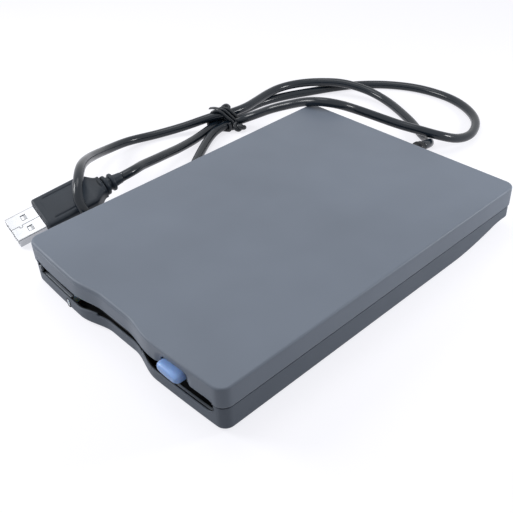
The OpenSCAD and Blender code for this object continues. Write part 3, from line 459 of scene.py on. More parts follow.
def makeOvermould(m):
    # body: superellipse sections |x/a|^n + |z/b|^n = 1 whose half sizes a, b and power n change along y
    y = np.concatenate([np.linspace(0, 1.1, 7), [1.3, 1.6], np.linspace(2.0, 21.0, 96),
                        np.linspace(21.3, 27.4, 26)])
    front = quarterRound(y / 1.1)
    shoulder = smoothStep((y - 20.6) / 6.2)
    a = (m["width"] / 2 - 0.9 * (1 - front)) * (1 - shoulder) + 4.6 * shoulder
    b = (m["height"] / 2 - 0.8 * (1 - front)) * (1 - shoulder) + 3.5 * shoulder
    power = 7.5 - 4.6 * shoulder
    t = -np.linspace(0, 2 * np.pi, 144, endpoint=False)
    x, z = superellipse(t[None], a, b, power[:, None])
    yy = np.broadcast_to(y[:, None], x.shape)
    # on both broad faces two grooves run along the long sides, and a small dimple sits near the front
    along = np.maximum(np.abs(yy - 10.6) - 6.2, 0)
    dist = np.hypot(np.abs(np.abs(x) - 5.3), along)
    dimple = np.hypot(x + 3.0, yy - 2.6)
    groove = np.exp(-(dist / 0.26) ** 2) + 0.8 * np.exp(-(dimple / 0.35) ** 2)
    z = z - np.sign(z) * m["panelDepth"] * groove * (np.abs(z) > 0.75 * b[:, None])
    pts = np.stack([x, yy, z], -1).reshape(-1, 3)
    rows, cols = x.shape
    faces = cappedGrid(rows, cols, len(pts))
    pts = np.vstack([pts, [0, 0, 0], [0, y[-1], 0]])
    body = (plugToWorld(pts), faces)
    # neck with two collars and a tapering sleeve, as one lathe profile
    profile = [(4.0, 26.0), (4.0, 26.9), (3.2, 27.4), (3.1, 27.7), (3.75, 27.85), (4.0, 28.15),
               (4.0, 29.1), (3.75, 29.4), (2.9, 29.6), (2.8, 30.7), (3.4, 30.85), (3.65, 31.15),
               (3.65, 32.0), (3.4, 32.3), (2.55, 32.5), (2.3, 34.4), (2.2, 35.6), (2.05, 35.95)]
    origin = plugToWorld([[0, 0, 0]])[0]
    axis = plugToWorld([[0, 1, 0]])[0] - origin
    neck = latheParts(profile, origin, axis, 40)
    return addMesh("plugMoulding", [body, neck], finishes["mould"], slot="cord_jacket",
                   replaces=("plug_overmould",), autoAngle=50)


overmould = makeOvermould(mouldShape)

shellShape = {"width": 12.0, "height": 4.5, "length": 12.0, "radius": 0.55, "wall": 0.3}


def makePlugShell(s):
    # sheet tube: rounded rectangle loop times y, with square windows left out of its broad faces
    xs = np.unique(np.round(np.concatenate([np.linspace(-5.4, 5.4, 37), [-4.1, -1.7, 1.7, 4.1]]), 4))
    corner = np.linspace(0, np.pi / 2, 7)[1:-1]
    w, h, r = s["width"] / 2, s["height"] / 2, s["radius"]
    top = np.stack([xs[::-1], np.full(len(xs), h)], 1)
    loop = np.vstack([
        top, np.stack([-(w - r) - r * np.sin(corner), h - r + r * np.cos(corner)], 1),
        [[-w, h - r], [-w, 0], [-w, -(h - r)]],
        np.stack([-(w - r) - r * np.cos(corner), -(h - r) - r * np.sin(corner)], 1),
        np.stack([xs, np.full(len(xs), -h)], 1),
        np.stack([(w - r) + r * np.sin(corner), -(h - r) - r * np.cos(corner)], 1),
        [[w, -(h - r)], [w, 0], [w, h - r]],
        np.stack([(w - r) + r * np.cos(corner), (h - r) + r * np.sin(corner)], 1)])
    ys = np.unique(np.round(np.concatenate([np.linspace(-s["length"], 0, 33), [-6.5, -4.3, -11.85]]), 4))
    pts = np.stack(np.broadcast_arrays(loop[None, :, 0], ys[:, None], loop[None, :, 1]), -1)
    quads = gridQuads(len(ys), len(loop), closeCols=True).reshape(len(ys) - 1, len(loop), 4)
    mid = (pts[:-1] + pts[1:]) / 2
    mid = (mid + np.roll(mid, -1, axis=1)) / 2
    out = np.abs(mid)
    hole = (np.abs(out[..., 0] - 2.9) < 1.2) & (np.abs(mid[..., 1] + 5.4) < 1.1) & (out[..., 2] > h - 0.1)
    quads = quads[~hole][:, ::-1]
    obj = addMesh("plugShell", [(plugToWorld(pts), quads)], finishes["nickel"], slot="plug_steel",
                  replaces=("plug_shell",), autoAngle=40)
    addModifier(obj, "SOLIDIFY", "sheetWall", thickness=s["wall"] * mm, offset=-1.0)
    return obj


plugShell = makePlugShell(shellShape)


def ribbonParts(line, width, lift=0.012):
    # flat strip of even width that follows a line on the plug's upper face
    line = np.asarray(line, float)
    d = np.gradient(line, axis=0)
    d /= np.linalg.norm(d, axis=1)[:, None]
    side = np.stack([-d[:, 1], d[:, 0]], 1) * width / 2
    z = np.full(len(line), shellShape["height"] / 2 + lift)
    a = np.column_stack([line + side, z])
    b = np.column_stack([line - side, z])
    pts = np.stack([b, a], 1).reshape(-1, 3)
    return plugToWorld(pts), gridQuads(len(line), 2)[:, ::-1]


# folded seam of the shell with its dovetail, drawn as a grey strip laid on the face: painted shade of the
# seam's crack
seamLine = [(0, -11.9), (0, -10.2), (0, -8.9), (0.25, -8.7), (0.75, -8.9), (1.05, -8.4), (0.75, -7.6),
            (0.2, -7.7), (0, -7.2), (0, -5), (0, -2), (0, -0.1)]
seamPath = evenPath(np.column_stack([seamLine, np.zeros(len(seamLine))]), 0.12)[:, :2]
seamShade = addMesh("plugSeamShade", [ribbonParts(seamPath, 0.26)], finishes["seamShade"], slot="plug_steel", smooth=False)


def makeWindowSprings():
    # each window holds a curved leaf: z falls from the face at its root and bows up again at its free end
    parts = []
    for cx in (-2.9, 2.9):
        for side in (1, -1):
            u = np.linspace(-1.0, 1.0, 9)
            v = np.linspace(0, 1, 14)
            x, t = np.meshgrid(cx + u * 1.08, v)
            y = -6.45 + 2.1 * t
            z = side * (shellShape["height"] / 2 - 0.14 - 0.14 * np.sin(np.pi * (0.15 + 0.85 * t)))
            quads = gridQuads(len(v), len(u))
            parts.append((plugToWorld(np.stack([x, y, z], -1)), quads if side > 0 else quads[:, ::-1]))
    obj = addMesh("plugSprings", parts, finishes["nickel"], slot="plug_steel")
    addModifier(obj, "SOLIDIFY", "leafWall", thickness=0.15 * mm, offset=0.0)
    return obj


plugSprings = makeWindowSprings()


def boxParts(x0, x1, y0, y1, z0, z1, r=0.15, steps=3):
    # box with round edges: each corner is an eighth of a sphere of radius r, moved out to the corner
    n = steps * 2
    g = np.linspace(-1, 1, n)
    a, b = np.meshgrid(g, g)
    one = np.ones_like(a)
    sides = [(a, b, one), (-a, b, -one), (one, a, b), (-one, -a, b), (-a, one, b), (a, -one, b)]
    half = np.array([(x1 - x0) / 2, (y1 - y0) / 2, (z1 - z0) / 2])
    mid = np.array([(x0 + x1) / 2, (y0 + y1) / 2, (z0 + z1) / 2])
    r = min(r, half.min())
    pts, faces = [], []
    for k, s in enumerate(sides):
        p = np.stack(s, -1).reshape(-1, 3)
        direction = np.sign(p) * np.tan(np.abs(p) * np.pi / 4)
        direction /= np.linalg.norm(direction, axis=1)[:, None]
        pts.append(mid + np.sign(p) * (half - r) + direction * r)
        faces.append(gridQuads(n, n, offset=k * n * n))
    return np.vstack(pts), [np.vstack(faces)]


def boxesMesh(name, boxes, material, toWorld=None, body="case", replaces=(), slot=None, r=0.15):
    parts = []
    for b in boxes:
        pts, faces = boxParts(*b, r=r)
        parts.append((toWorld(pts) if toWorld else pts, faces))
    obj = addMesh(name, parts, material, body=body, replaces=replaces, slot=slot, autoAngle=60)
    addModifier(obj, "WELD", "joinedEdges", merge_threshold=0.00001)
    return obj


plugTongue = boxesMesh("plugTongue", [(-5.66, 5.66, -11.4, 0, -1.93, -0.05)], finishes["white"],
                       plugToWorld, slot="pale_plastic", replaces=("plug_tongue",), r=0.2)
contactPlaces = (-3.5, -1, 1, 3.5)
plugContacts = boxesMesh("plugContacts", [(x - 0.5, x + 0.5, -9.6, -1.9, -0.08, 0.12) for x in contactPlaces],
                         finishes["gold"], plugToWorld, slot="gold", replaces=("plug_contacts",), r=0.06)

reliefShape = {"place": (-2.5, 73.5, 7.0), "length": 16.5, "ribs": 5}


def makeRelief(s):
    # tapered sleeve with round-edged ribs: radius falls along its length and swells at each rib
    d = [-3.0, 0.0]
    r = [3.1, 3.1]
    for i in range(s["ribs"]):
        start = 1.0 + 3 * i
        core = 3.05 - 0.55 * start / s["length"]
        top = 3.6 - 0.16 * i
        d += [start, start + 0.12, start + 0.4, start + 1.3, start + 1.6, start + 1.72]
        r += [core, top - 0.2, top, top, top - 0.2, core - 0.05]
    d += [s["length"] - 0.35, s["length"]]
    r += [2.45, 2.1]
    sleeve = latheParts(np.stack([r, d], 1), s["place"], (0, 1, 0), 48)
    inner = latheParts([(3.0, -5.0), (3.9, -4.9), (3.9, -4.0), (3.0, -3.6)], s["place"], (0, 1, 0), 40)
    return addMesh("cordRelief", [sleeve, inner], finishes["relief"], slot="black_plastic",
                   replaces=("cable_relief",), autoAngle=45)


relief = makeRelief(reliefShape)

tieShape = {"middle": (-88.9, 4.7), "strands": [(-91.1, 3.0), (-86.5, 3.0), (-89.9, 7.05)], "gap": 2.7,
            "start": 54.9, "pitch": 2.0, "turns": 3, "slant": 0.6, "thick": 0.7, "broad": 0.98,
            "twists": 1.1, "apart": 0.75, "strand": 1.15}


def tieLoop(gap, count=72):
    # convex outline of the strands grown by gap: along each direction, the nearest of the lines that touch it
    t = np.linspace(0, 2 * np.pi, count, endpoint=False)
    dirs = np.stack([np.cos(t), np.sin(t)], 1)
    mid = np.array(tieShape["middle"])
    angle = np.linspace(0, 2 * np.pi, 181)[:-1]
    normals = np.stack([np.cos(angle), np.sin(angle)], 1)
    support = (np.array(tieShape["strands"]) @ normals.T).max(0) + gap
    best = np.full(count, np.inf)
    for n, h in zip(normals, support):
        d = dirs @ n
        r = np.where(d > 0.05, (h - mid @ n) / np.maximum(d, 0.05), np.inf)
        best = np.minimum(best, r)
    return mid + dirs * best[:, None]


def makeTie(s):
    loop = tieLoop(s["gap"])
    count = len(loop)
    total = s["turns"] * count
    k = np.arange(total + 1)
    across = loop[k % count, 0] - s["middle"][0]
    y = s["start"] - s["pitch"] * k / count + s["slant"] * across + 0.15 * np.sin(k * 2 * np.pi / count * 1.7)
    path = np.column_stack([loop[k % count, 0], y, loop[k % count, 1]])
    path[:, 2] = np.maximum(path[:, 2], 1.05)
    parts = [sweepParts(path, circleSection(1.0, 14) * np.array([s["thick"], s["broad"]]))]
    # twisted end: two strands wind round a short bent axis
    axis = evenPath(smoothPath([(-84.6, 54.8, 3.4), (-83.0, 54.2, 2.6), (-81.6, 54.6, 2.1),
                                (-80.7, 56.0, 2.2), (-80.6, 57.2, 2.4)], 12), 0.25)
    _, n, b = pathFrames(axis)
    a = np.linspace(0, 2 * np.pi * s["twists"], len(axis))[:, None]
    parts += [sweepParts(axis + s["apart"] * (np.cos(a + q) * n + np.sin(a + q) * b),
                         circleSection(s["strand"], 10)) for q in (0, np.pi)]
    # flat tab at the upper end, and a short loop beside it
    tab = evenPath(smoothPath([(-89.6, 52.4, 10.1), (-91.6, 51.4, 9.9), (-93.6, 50.6, 9.9),
                               (-95.6, 49.8, 9.4)], 8), 0.3)
    parts.append(sweepParts(tab, circleSection(1.0, 14) * np.array([1.15, 0.4])))
    bow = evenPath(smoothPath([(-91.0, 53.2, 9.3), (-91.2, 54.6, 10.1), (-90.4, 56.0, 10.4),
                               (-89.0, 56.2, 9.8), (-88.4, 54.8, 9.4)], 8), 0.3)
    parts.append(sweepParts(bow, circleSection(0.8, 12)))
    return addMesh("cordTie", parts, finishes["tie"], slot="cord_jacket", replaces=("cord_tie",))


tie = makeTie(tieShape)
print("plug, relief and tie made")


# ---------- case shells

caseShape = {"halfWidth": 51.5, "rear": 73.5, "front": 72.0, "bow": 1.4, "bowHalf": 46,
             "frontHalf": 47.5, "frontRadius": 4.0, "rearRadius": 4.0, "scoopHalf": 21.0,
             "scoopFlat": 6.0, "top": 17.5, "parting": 9.6, "slotHalf": 47.15, "slotLow": 5.6,
             "slotHigh": 11.1, "upperScoop": 2.3, "lowerScoop": 3.3, "sweepFrom": 38,
             "sweepMost": 3.4, "sweepReach": 200}
upperShape = {"roofRound": 0.72, "wall": 1.5, "gap": 0.24, "notchLeft": 25.1, "notchRight": 36.4,
              "notchTop": 14.2, "notchRound": 1.7, "dish": 0.7, "dishReach": 2.4, "bead": 0.14,
              "crease": 0.42, "softer": 0.6, "flare": 0.35}
lowerShape = {"inset": 0.35, "wall": 0.75, "lipBump": 0.8, "bumpFrom": 12.1, "bumpTo": 21.0, "floor": 0.7,
              "gap": 0.36, "bead": 0.12}


def frontLine(x, scoop):
    # shallow bow y = -front + bow (x/bowHalf)^2 with a smooth scoop in its middle
    c = caseShape
    share = smoothStep((c["scoopHalf"] - np.abs(x)) / (c["scoopHalf"] - c["scoopFlat"]))
    return -c["front"] + c["bow"] * (x / c["bowHalf"]) ** 2 + scoop * share


def frontColumns():
    # even columns, with more of them next to the ends of the notch, of the slot and of the lip's bumps
    u, slotEnd, half = upperShape, caseShape["slotHalf"], caseShape["frontHalf"]
    near = np.array([0, 0.02, 0.25, 0.6, 1.0, 1.5, 2.1, 2.8])
    edge = [c + s * near for c in (u["notchLeft"], u["notchRight"]) for s in (1, -1)]
    edge += [near - slotEnd, slotEnd - near]
    bump = lowerShape["bumpFrom"] + np.array([-0.3, 0, 0.3, 0.6])
    x = np.concatenate([np.linspace(-half, half, 191), *edge, -bump, bump, [-slotEnd - 0.02, slotEnd + 0.02]])
    return np.unique(np.round(x[np.abs(x) <= half], 3))


frontX = frontColumns()


def caseRing(inset, scoop):
    # plan outline drawn in by inset, anticlockwise from the front left: front, corner, side, corner,
    # rear, corner, side, corner
    c = caseShape
    inset = np.zeros(ringSize) + inset
    w, rear = c["halfWidth"], c["rear"]
    k = (w - inset[0] - max(0.5, c["frontRadius"] - inset[0])) / c["frontHalf"]
    pts = np.zeros((ringSize, 2))
    a = inset[partFront]
    pts[partFront] = np.stack([frontX * k, frontLine(frontX * k, scoop) + a], 1)
    endY = frontLine(np.array([c["frontHalf"] * k]), scoop)[0]
    for part, sx, t0, t1 in ((partRightFront, 1, -75, 0), (partLeftFront, -1, 180, 255)):
        a = inset[part]
        r = np.maximum(0.5, c["frontRadius"] - a)
        t = np.radians(np.linspace(t0, t1, len(part)))
        pts[part] = np.stack([sx * (w - a - r) + r * np.cos(t), endY + a + r + r * np.sin(t)], 1)
    for part, sx in ((partRight, 1), (partLeft, -1)):
        a = inset[part]
        y0 = endY + c["frontRadius"]
        y1 = rear - c["rearRadius"]
        y = np.linspace(y0, y1, len(part) + 2)[1:-1]
        pts[part] = np.stack([sx * (w - a), y if sx > 0 else y[::-1]], 1)
    for part, sx, t0, t1 in ((partRightRear, 1, 0, 90), (partLeftRear, -1, 90, 180)):
        a = inset[part]
        r = np.maximum(0.5, c["rearRadius"] - a)
        t = np.radians(np.linspace(t0, t1, len(part)))
        pts[part] = np.stack([sx * (w - a - r) + r * np.cos(t), rear - a - r + r * np.sin(t)], 1)
    a = inset[partRear]
    x = np.linspace(w - c["rearRadius"], -(w - c["rearRadius"]), len(partRear) + 2)[1:-1]
    pts[partRear] = np.stack([x, rear - a], 1)
    return pts


counts = [len(frontX), 12, 40, 18, 48, 18, 40, 12]
starts = np.concatenate([[0], np.cumsum(counts)])
ringSize = int(starts[-1])
partFront, partRightFront, partRight, partRightRear, partRear, partLeftRear, partLeft, partLeftFront = [
    np.arange(starts[i], starts[i + 1]) for i in range(8)]
isFront = np.zeros(ringSize, bool)
isFront[partFront] = True


def closeRings(rows, crownZ, shrinks, outward=True):
    # joins the rings, then draws copies of the last one in to the middle at crownZ and closes them on a point
    last = rows[-1][:, :2]
    rows = list(rows) + [np.column_stack([last * k, np.full(ringSize, crownZ)]) for k in shrinks]
    pts = np.stack(rows)
    quads = gridQuads(len(rows), ringSize, closeCols=True)
    flat = np.vstack([pts.reshape(-1, 3), pts[-1].mean(0)])
    faces = [quads, fanFaces((len(rows) - 1) * ringSize, ringSize, len(flat) - 1)]
    return flat, faces if outward else [f[:, ::-1] for f in faces]


def slotCurve(x, base, slotZ, endRadius):
    # the edge's height along the front: base outside the slot, slotZ inside it, quarter rounds at its ends
    d = caseShape["slotHalf"] - np.abs(x)
    r = np.where(x > 0, endRadius[1], endRadius[0])
    rise = np.where(d <= 0, 0, 0.35 + 0.65 * quarterRound(d / r))
    return np.where(d < 0, base, base + (slotZ - base) * rise)


def makeUpperShell(u):
    c = caseShape
    scoop = c["upperScoop"]
    low = np.full(ringSize, c["parting"] + u["gap"])
    x = frontX
    edge = slotCurve(x, c["parting"] + u["gap"], c["slotHigh"], (1.1, 2.6))
    left, right, r = u["notchLeft"], u["notchRight"], u["notchRound"]
    d = np.minimum(x - left, right - x)
    low[partFront] = np.where(d > 0, u["notchTop"] - r + r * quarterRound(d / r), edge)
    rows = []
    # wall: z runs from the lower edge, turned in a little with a fine bead over the slot, to the roof round;
    # a shallow crease below the round fades out towards the right
    overSlot = np.where(isFront, 1.0, 0.0)
    overSlot[partFront] *= smoothStep((47.6 - np.abs(x)) / 1.0)
    fade = np.zeros(ringSize)
    fade[partFront] = smoothStep((30 - x) / 75)
    fade[partLeftFront] = smoothStep(np.linspace(0, 1, len(partLeftFront)))
    crease = u["crease"] * fade
    flare = np.zeros(ringSize)
    flare[partFront] = u["flare"] * fade[partFront] * smoothStep((x + 47.5) / 9)
    roof = c["top"] - u["roofRound"] * (1 + u["softer"] * fade)
    for rise, inset, bead in ((0.0, 0.32, 0.0), (0.08, 0.1, 0.3), (0.2, 0.02, 1.0), (0.42, 0.0, 1.0),
                              (0.6, 0.0, 0.0)):
        rows.append(np.column_stack([caseRing(inset - u["bead"] * bead * overSlot - flare, scoop), low + rise]))
    for t in np.linspace(0, 1, 10)[1:]:
        rows.append(np.column_stack([caseRing(-flare * (1 - t), scoop),
                                     low + 0.6 + (roof - 0.85 - low - 0.6) * t]))
    for drop, depth in ((0.66, 0.5), (0.5, 1.0), (0.3, 1.0), (0.14, 0.5), (0.0, 0.0)):
        rows.append(np.column_stack([caseRing(crease * depth, scoop), roof - drop]))
    for a in np.linspace(0, 90, 9)[1:]:
        ring = caseRing(u["roofRound"] * (1 + 0.5 * fade) * (1 - math.cos(math.radians(a))), scoop)
        rows.append(np.column_stack([ring, roof + (c["top"] - roof) * math.sin(math.radians(a))]))
    rows = np.array(rows)
    # finger dish round the button: the front wall sinks near the notch, distance d outside a rounded box
    px, pz = rows[:, partFront, 0], rows[:, partFront, 2]
    qx = np.abs(px - (left + right) / 2) - (right - left) / 2 + r
    qz = pz - u["notchTop"] + r
    dist = np.hypot(np.maximum(qx, 0), np.maximum(qz, 0)) - r
    sink = u["dish"] * smoothStep(1 - dist / u["dishReach"]) * smoothStep((c["top"] + 0.1 - pz) / 1.2)
    rows[:, partFront, 1] += sink
    shell = closeRings(rows, c["top"], [0.995, 0.98, 0.94, 0.85, 0.7, 0.5, 0.25, 0.05])
    obj = addMesh("upperShell", [shell], finishes["upper"], slot="slate_upper", replaces=("top_cover",),
                  autoAngle=35)
    # the wall's inner faces take the black plastic: painted shade that keeps the inside seen through the slot
    # dark; the shell is grey plastic inside too
    obj.data.materials.append(finishes["black"])
    addModifier(obj, "SOLIDIFY", "shellWall", thickness=u["wall"] * mm, offset=-1.0, use_even_offset=False,
                material_offset=1)
    return obj


makeUpperShell(upperShape)

def sweepRise(y):
    # how far the lower edge has swept up: a parabola behind sweepFrom that stops at sweepMost
    c = caseShape
    rise = np.minimum(c["sweepMost"], (y - c["sweepFrom"]) ** 2 / c["sweepReach"])
    return np.where(y > c["sweepFrom"], rise, 0)


def makeLowerShell(l):
    c = caseShape
    scoop = c["lowerScoop"]
    top = np.full(ringSize, c["parting"] - l["gap"])
    x = frontX
    lip = slotCurve(x, c["parting"] - l["gap"], c["slotLow"], (1.3, 3.4))
    ax = np.abs(x)
    bump = l["lipBump"] * smoothStep((l["bumpTo"] - ax) / 7) * np.where(ax > l["bumpFrom"], 1, 0)
    top[partFront] = lip + bump
    base = caseRing(l["inset"], scoop)
    rise = sweepRise(base[:, 1])
    start = 1.7 + rise
    rows = []
    underSlot = np.where(isFront, 1.0, 0.0)
    for inset, dz, bead in ((0.3, 0.0, 0.0), (0.08, -0.08, 0.4), (0.0, -0.24, 1.0), (0.0, -0.34, 0.6)):
        rows.append(np.column_stack([caseRing(l["inset"] + inset - l["bead"] * bead * underSlot, scoop),
                                     top + dz]))
    for t in np.linspace(0, 1, 10)[1:]:
        rows.append(np.column_stack([base, top - 0.34 + (start - top + 0.34) * t]))
    # lower edge: a quadratic curve from the wall to the floor, flatter where the edge has risen
    for t in np.linspace(0, 1, 12)[1:]:
        pull = 0.8 / (1 + 0.9 * rise)
        endInset, endZ = 0.9 + 1.5 * rise, l["floor"] - start
        midInset, midZ = endInset / 2 * (1 - pull), endZ / 2 * (1 + pull)
        inset = l["inset"] + 2 * t * (1 - t) * midInset + t * t * endInset
        z = start + 2 * t * (1 - t) * midZ + t * t * endZ
        rows.append(np.column_stack([caseRing(inset, scoop), z]))
    shell = closeRings(rows, l["floor"], [0.99, 0.96, 0.9, 0.75, 0.5, 0.25, 0.05], outward=False)
    obj = addMesh("lowerShell", [shell], finishes["lower"], slot="slate_lower", replaces=("bottom_cover",),
                  autoAngle=35)
    # the wall's inner faces take the black plastic: painted shade that keeps the inside seen through the slot
    # dark; the shell is grey plastic inside too
    obj.data.materials.append(finishes["black"])
    addModifier(obj, "SOLIDIFY", "shellWall", thickness=l["wall"] * mm, offset=-1.0, use_even_offset=False,
                material_offset=1)
    return obj


makeLowerShell(lowerShape)
print("case shells made")

# guide rails just inside the slot: a round-edged bar that follows the bowed front
railShape = {"left": {"from": -45.6, "to": -26.8, "gap": 0.6, "depth": 1.15, "top": 5.55, "height": 1.2},
             "right": {"from": 30.2, "to": 46.7, "gap": 1.0, "depth": 0.8, "top": 5.1, "height": 1.0}}


def makeRails(shapes):
    parts = []
    for r in shapes.values():
        x = np.linspace(r["from"], r["to"], 24)
        y = frontLine(x, caseShape["lowerScoop"]) + 0.35 + r["gap"] + r["depth"] / 2
        z = np.full_like(x, r["top"] - r["height"] / 2)
        loop = roundedLoop(r["depth"], r["height"], 0.2, 5)[::-1]
        parts.append(sweepParts(np.stack([x, y, z], 1), loop * np.array([-1, 1])))
    return addMesh("guideRails", parts, finishes["rail"], slot="slate_lower", autoAngle=50)


makeRails(railShape)
boxesMesh("guideStop", [(-46.9, -45.5, -70.5, -69.4, 6.2, 8.6)], finishes["rail"],
          slot="slate_lower", r=0.35)


# ---------- button, lens, flap, feet and screws

buttonShape = {"x": 30.4, "z": 11.86, "width": 10.1, "height": 3.55, "nose": -73.5, "back": -63.0,
               "dome": 1.7, "power": 3.4}


def makeButton(b):
    # superellipse section |x/a|^n + |z/c|^n = 1; the sizes follow a quarter ellipse over the nose
    t = -np.linspace(0, 2 * np.pi, 96, endpoint=False)
    ang = np.linspace(0, 90, 18)
    grow = np.sin(np.radians(ang))
    y = np.concatenate([b["nose"] + b["dome"] * (1 - np.cos(np.radians(ang))),
                        np.linspace(b["nose"] + b["dome"] + 0.6, b["back"], 8)])
    a = np.concatenate([0.7 + 0.3 * grow, np.ones(8)]) * b["width"] / 2
    h = np.concatenate([0.42 + 0.58 * grow, np.ones(8)]) * b["height"] / 2
    x, z = superellipse(t, a, h, b["power"])
    rows, cols = x.shape
    pts = np.stack([b["x"] + x, np.broadcast_to(y[:, None], x.shape), b["z"] + z], -1).reshape(-1, 3)
    faces = cappedGrid(rows, cols, len(pts))
    pts = np.vstack([pts, [b["x"], b["nose"], b["z"]], [b["x"], b["back"], b["z"]]])
    return addMesh("ejectButton", [(pts, faces)], finishes["button"], body="eject_slide", slot="button_blue",
                   replaces=("eject_button",), autoAngle=50)


makeButton(buttonShape)

lensShape = {"x": -28.0, "low": 1.2, "high": 4.35, "radius": 0.95}


def makeLens(s):
    # upright capsule whose face is a shallow dome just proud of the front wall
    t = -np.linspace(0, 2 * np.pi, 40, endpoint=False)
    half = (s["high"] - s["low"]) / 2 - s["radius"]
    mid = (s["high"] + s["low"]) / 2
    front = frontLine(np.array([s["x"]]), 0)[0] + 0.35

    def capsule(name, rings, **values):
        # rings holds the radius, the depth behind the wall and the share of the straight part
        rows = []
        for g, y, share in rings:
            z = mid + g * np.sin(t) + half * np.tanh(4 * np.sin(t)) * share
            rows.append(np.stack([s["x"] + g * np.cos(t), np.full_like(t, front + y), z], 1))
        return addMesh(name, [(np.vstack(rows), [gridQuads(len(rows), len(t), closeCols=True)])], **values)

    r = s["radius"]
    # black ring round the lens: painted shade of the gap between the lens and the front wall
    capsule("lensGapShadeRing", ((r - 0.02, -0.14, 1), (r + 0.2, -0.14, 1), (r + 0.26, -0.08, 1), (r + 0.26, 0.8, 1)),
            material=finishes["black"], slot="black_plastic")
    dome = ((0.0, -0.28), (0.5, -0.24), (0.85, -0.12), (1.0, 0.1), (1.0, 4.9))
    return capsule("lampLens", [(k * r, y, max(k, 0.3)) for k, y in dome], material=finishes["lens"],
                   slot="lens_clear", replaces=("lamp_lens",))


makeLens(lensShape)

flapShape = {"left": -43.5, "right": 22.5, "y": -66.8, "z": 12.6, "low": 6.05}


def makeFlap(f):
    # plate with rolled lower edge: its section is swept along X; a shallow bead stands near each end
    section = np.array([(-0.9, 12.6), (-0.9, 6.7), (-0.86, 6.3), (-0.7, 6.08), (-0.4, 6.05), (0.1, 6.05),
                        (0.2, 6.2), (0.15, 6.5), (-0.1, 6.6), (-0.2, 6.9), (-0.2, 11.7), (0.2, 11.9),
                        (0.72, 12.1), (0.98, 12.6), (0.72, 13.3), (0.0, 13.6), (-0.65, 13.35)])
    x = np.linspace(f["left"], f["right"], 60)
    pts = np.stack(np.broadcast_arrays(x[:, None], f["y"] + section[None, :, 0], section[None, :, 1]), -1)
    bead = 0.12 * (np.exp(-((x - f["left"] - 2) / 0.6) ** 2) + np.exp(-((x - f["right"] + 2) / 0.6) ** 2))
    pts[:, 1:4, 1] += bead[:, None]
    rows, cols = len(x), len(section)
    flat = np.vstack([pts.reshape(-1, 3), pts[0].mean(0), pts[-1].mean(0)])
    faces = cappedGrid(rows, cols, rows * cols)
    rod = latheParts([(0.7, -48.5), (0.8, -48.4), (0.8, 24.1), (0.7, 24.2)], (0, f["y"], f["z"]), (1, 0, 0), 24)
    return addMesh("dustFlap", [(flat, faces), rod], finishes["flap"], body="flap", slot="black_plastic",
                   replaces=("dust_flap",), autoAngle=40)


makeFlap(flapShape)

footShape = {"places": [(37, -56), (-37, -56), (37, 46), (-37, 46)], "radius": 4.5, "height": 0.7}


def makeFeet(f):
    # disc with a rounded rim and a shallow cup in its underside
    r, h = f["radius"], f["height"]
    profile = [(0.01, 0.12), (r * 0.55, 0.12), (r * 0.66, 0.02), (r * 0.9, 0.0), (r * 0.97, 0.08),
               (r, 0.25), (r, h)]
    parts = [latheParts(profile, (x, y, 0), (0, 0, 1), 48) for x, y in f["places"]]
    return addMesh("rubberFeet", parts, finishes["foot"], slot="foot_rubber", replaces=("rubber_feet",),
                   autoAngle=50)


makeFeet(footShape)


def makeScrews():
    # countersunk screw heads: lathe profile with a cross recess pressed in by lowering points near two lines
    parts = []
    for x0 in (41.0, -41.0):
        r = np.linspace(0, 2.05, 16)
        t = np.linspace(0, 2 * np.pi, 64, endpoint=False)
        rr, tt = np.meshgrid(r, t, indexing="ij")
        x, y = rr * np.cos(tt), rr * np.sin(tt)
        cross = np.minimum(np.abs(x), np.abs(y))
        depth = 0.7 * smoothStep((0.34 - cross) / 0.12) * smoothStep((1.25 - rr) / 0.2)
        z = 1.0 + 0.12 * (rr / 2.05) ** 4 + depth
        pts = np.stack([x0 + x, 62.5 + y, z], -1).reshape(-1, 3)
        parts.append((pts, gridQuads(16, 64, closeCols=True)))
        shank = [(2.05, 1.12), (2.05, 2.4), (1.2, 2.4), (1.2, 11.9)]
        parts.append(latheParts(shank, (x0, 62.5, 0), (0, 0, 1), 40, capEnds=False))
    return addMesh("caseScrews", parts, finishes["turned"], slot="turned_steel", replaces=("case_screws",),
                   autoAngle=40)


makeScrews()
print("front parts, feet and screws made")


# ---------- wound springs and the lead screw's thread

def helixPath(start, axis, radius, length, turns, closed=1.5, perTurn=20):
    # coil: angle grows evenly while the climb is slow in the closed end turns and even between them
    axis = np.asarray(axis, float)
    u, v = crossAxes(axis)
    k = np.linspace(0, turns, int(turns * perTurn) + 1)
    climb = np.interp(k, [0, closed, turns - closed, turns], [0, closed * 0.012, 1 - closed * 0.012, 1])
    a = 2 * np.pi * k[:, None]
    return np.asarray(start, float) + climb[:, None] * length * axis + radius * (np.cos(a) * u + np.sin(a) * v)


# starts of the coils, then axis, coil radius, length, turns and wire radius
springShapes = {
    "ejectSprings": ([(44.2, -37.8, 12.9), (-44.2, -37.8, 12.9)], (0, 1, 0), 0.9, 23.6, 40, 0.2,
                     "eject_springs"),
    "flapSpring": ([(-46.7, -66.8, 12.6)], (1, 0, 0), 1.08, 2.7, 8, 0.11, "flap_spring"),
    "leverSpring": ([(-38, 37, 9.05)], (0, 0, 1), 2.1, 2.7, 5, 0.28, "trigger_spring")}
for name, (places, axis, radius, length, turns, wire, node) in springShapes.items():
    parts = [sweepParts(helixPath(place, axis, radius, length, turns),
                        circleSection(wire, 8)) for place in places]
    addMesh(name, parts, finishes["spring"], slot="turned_steel", replaces=(node,))

threadShape = {"lead": 3.75, "radius": 1.2, "depth": 0.22}


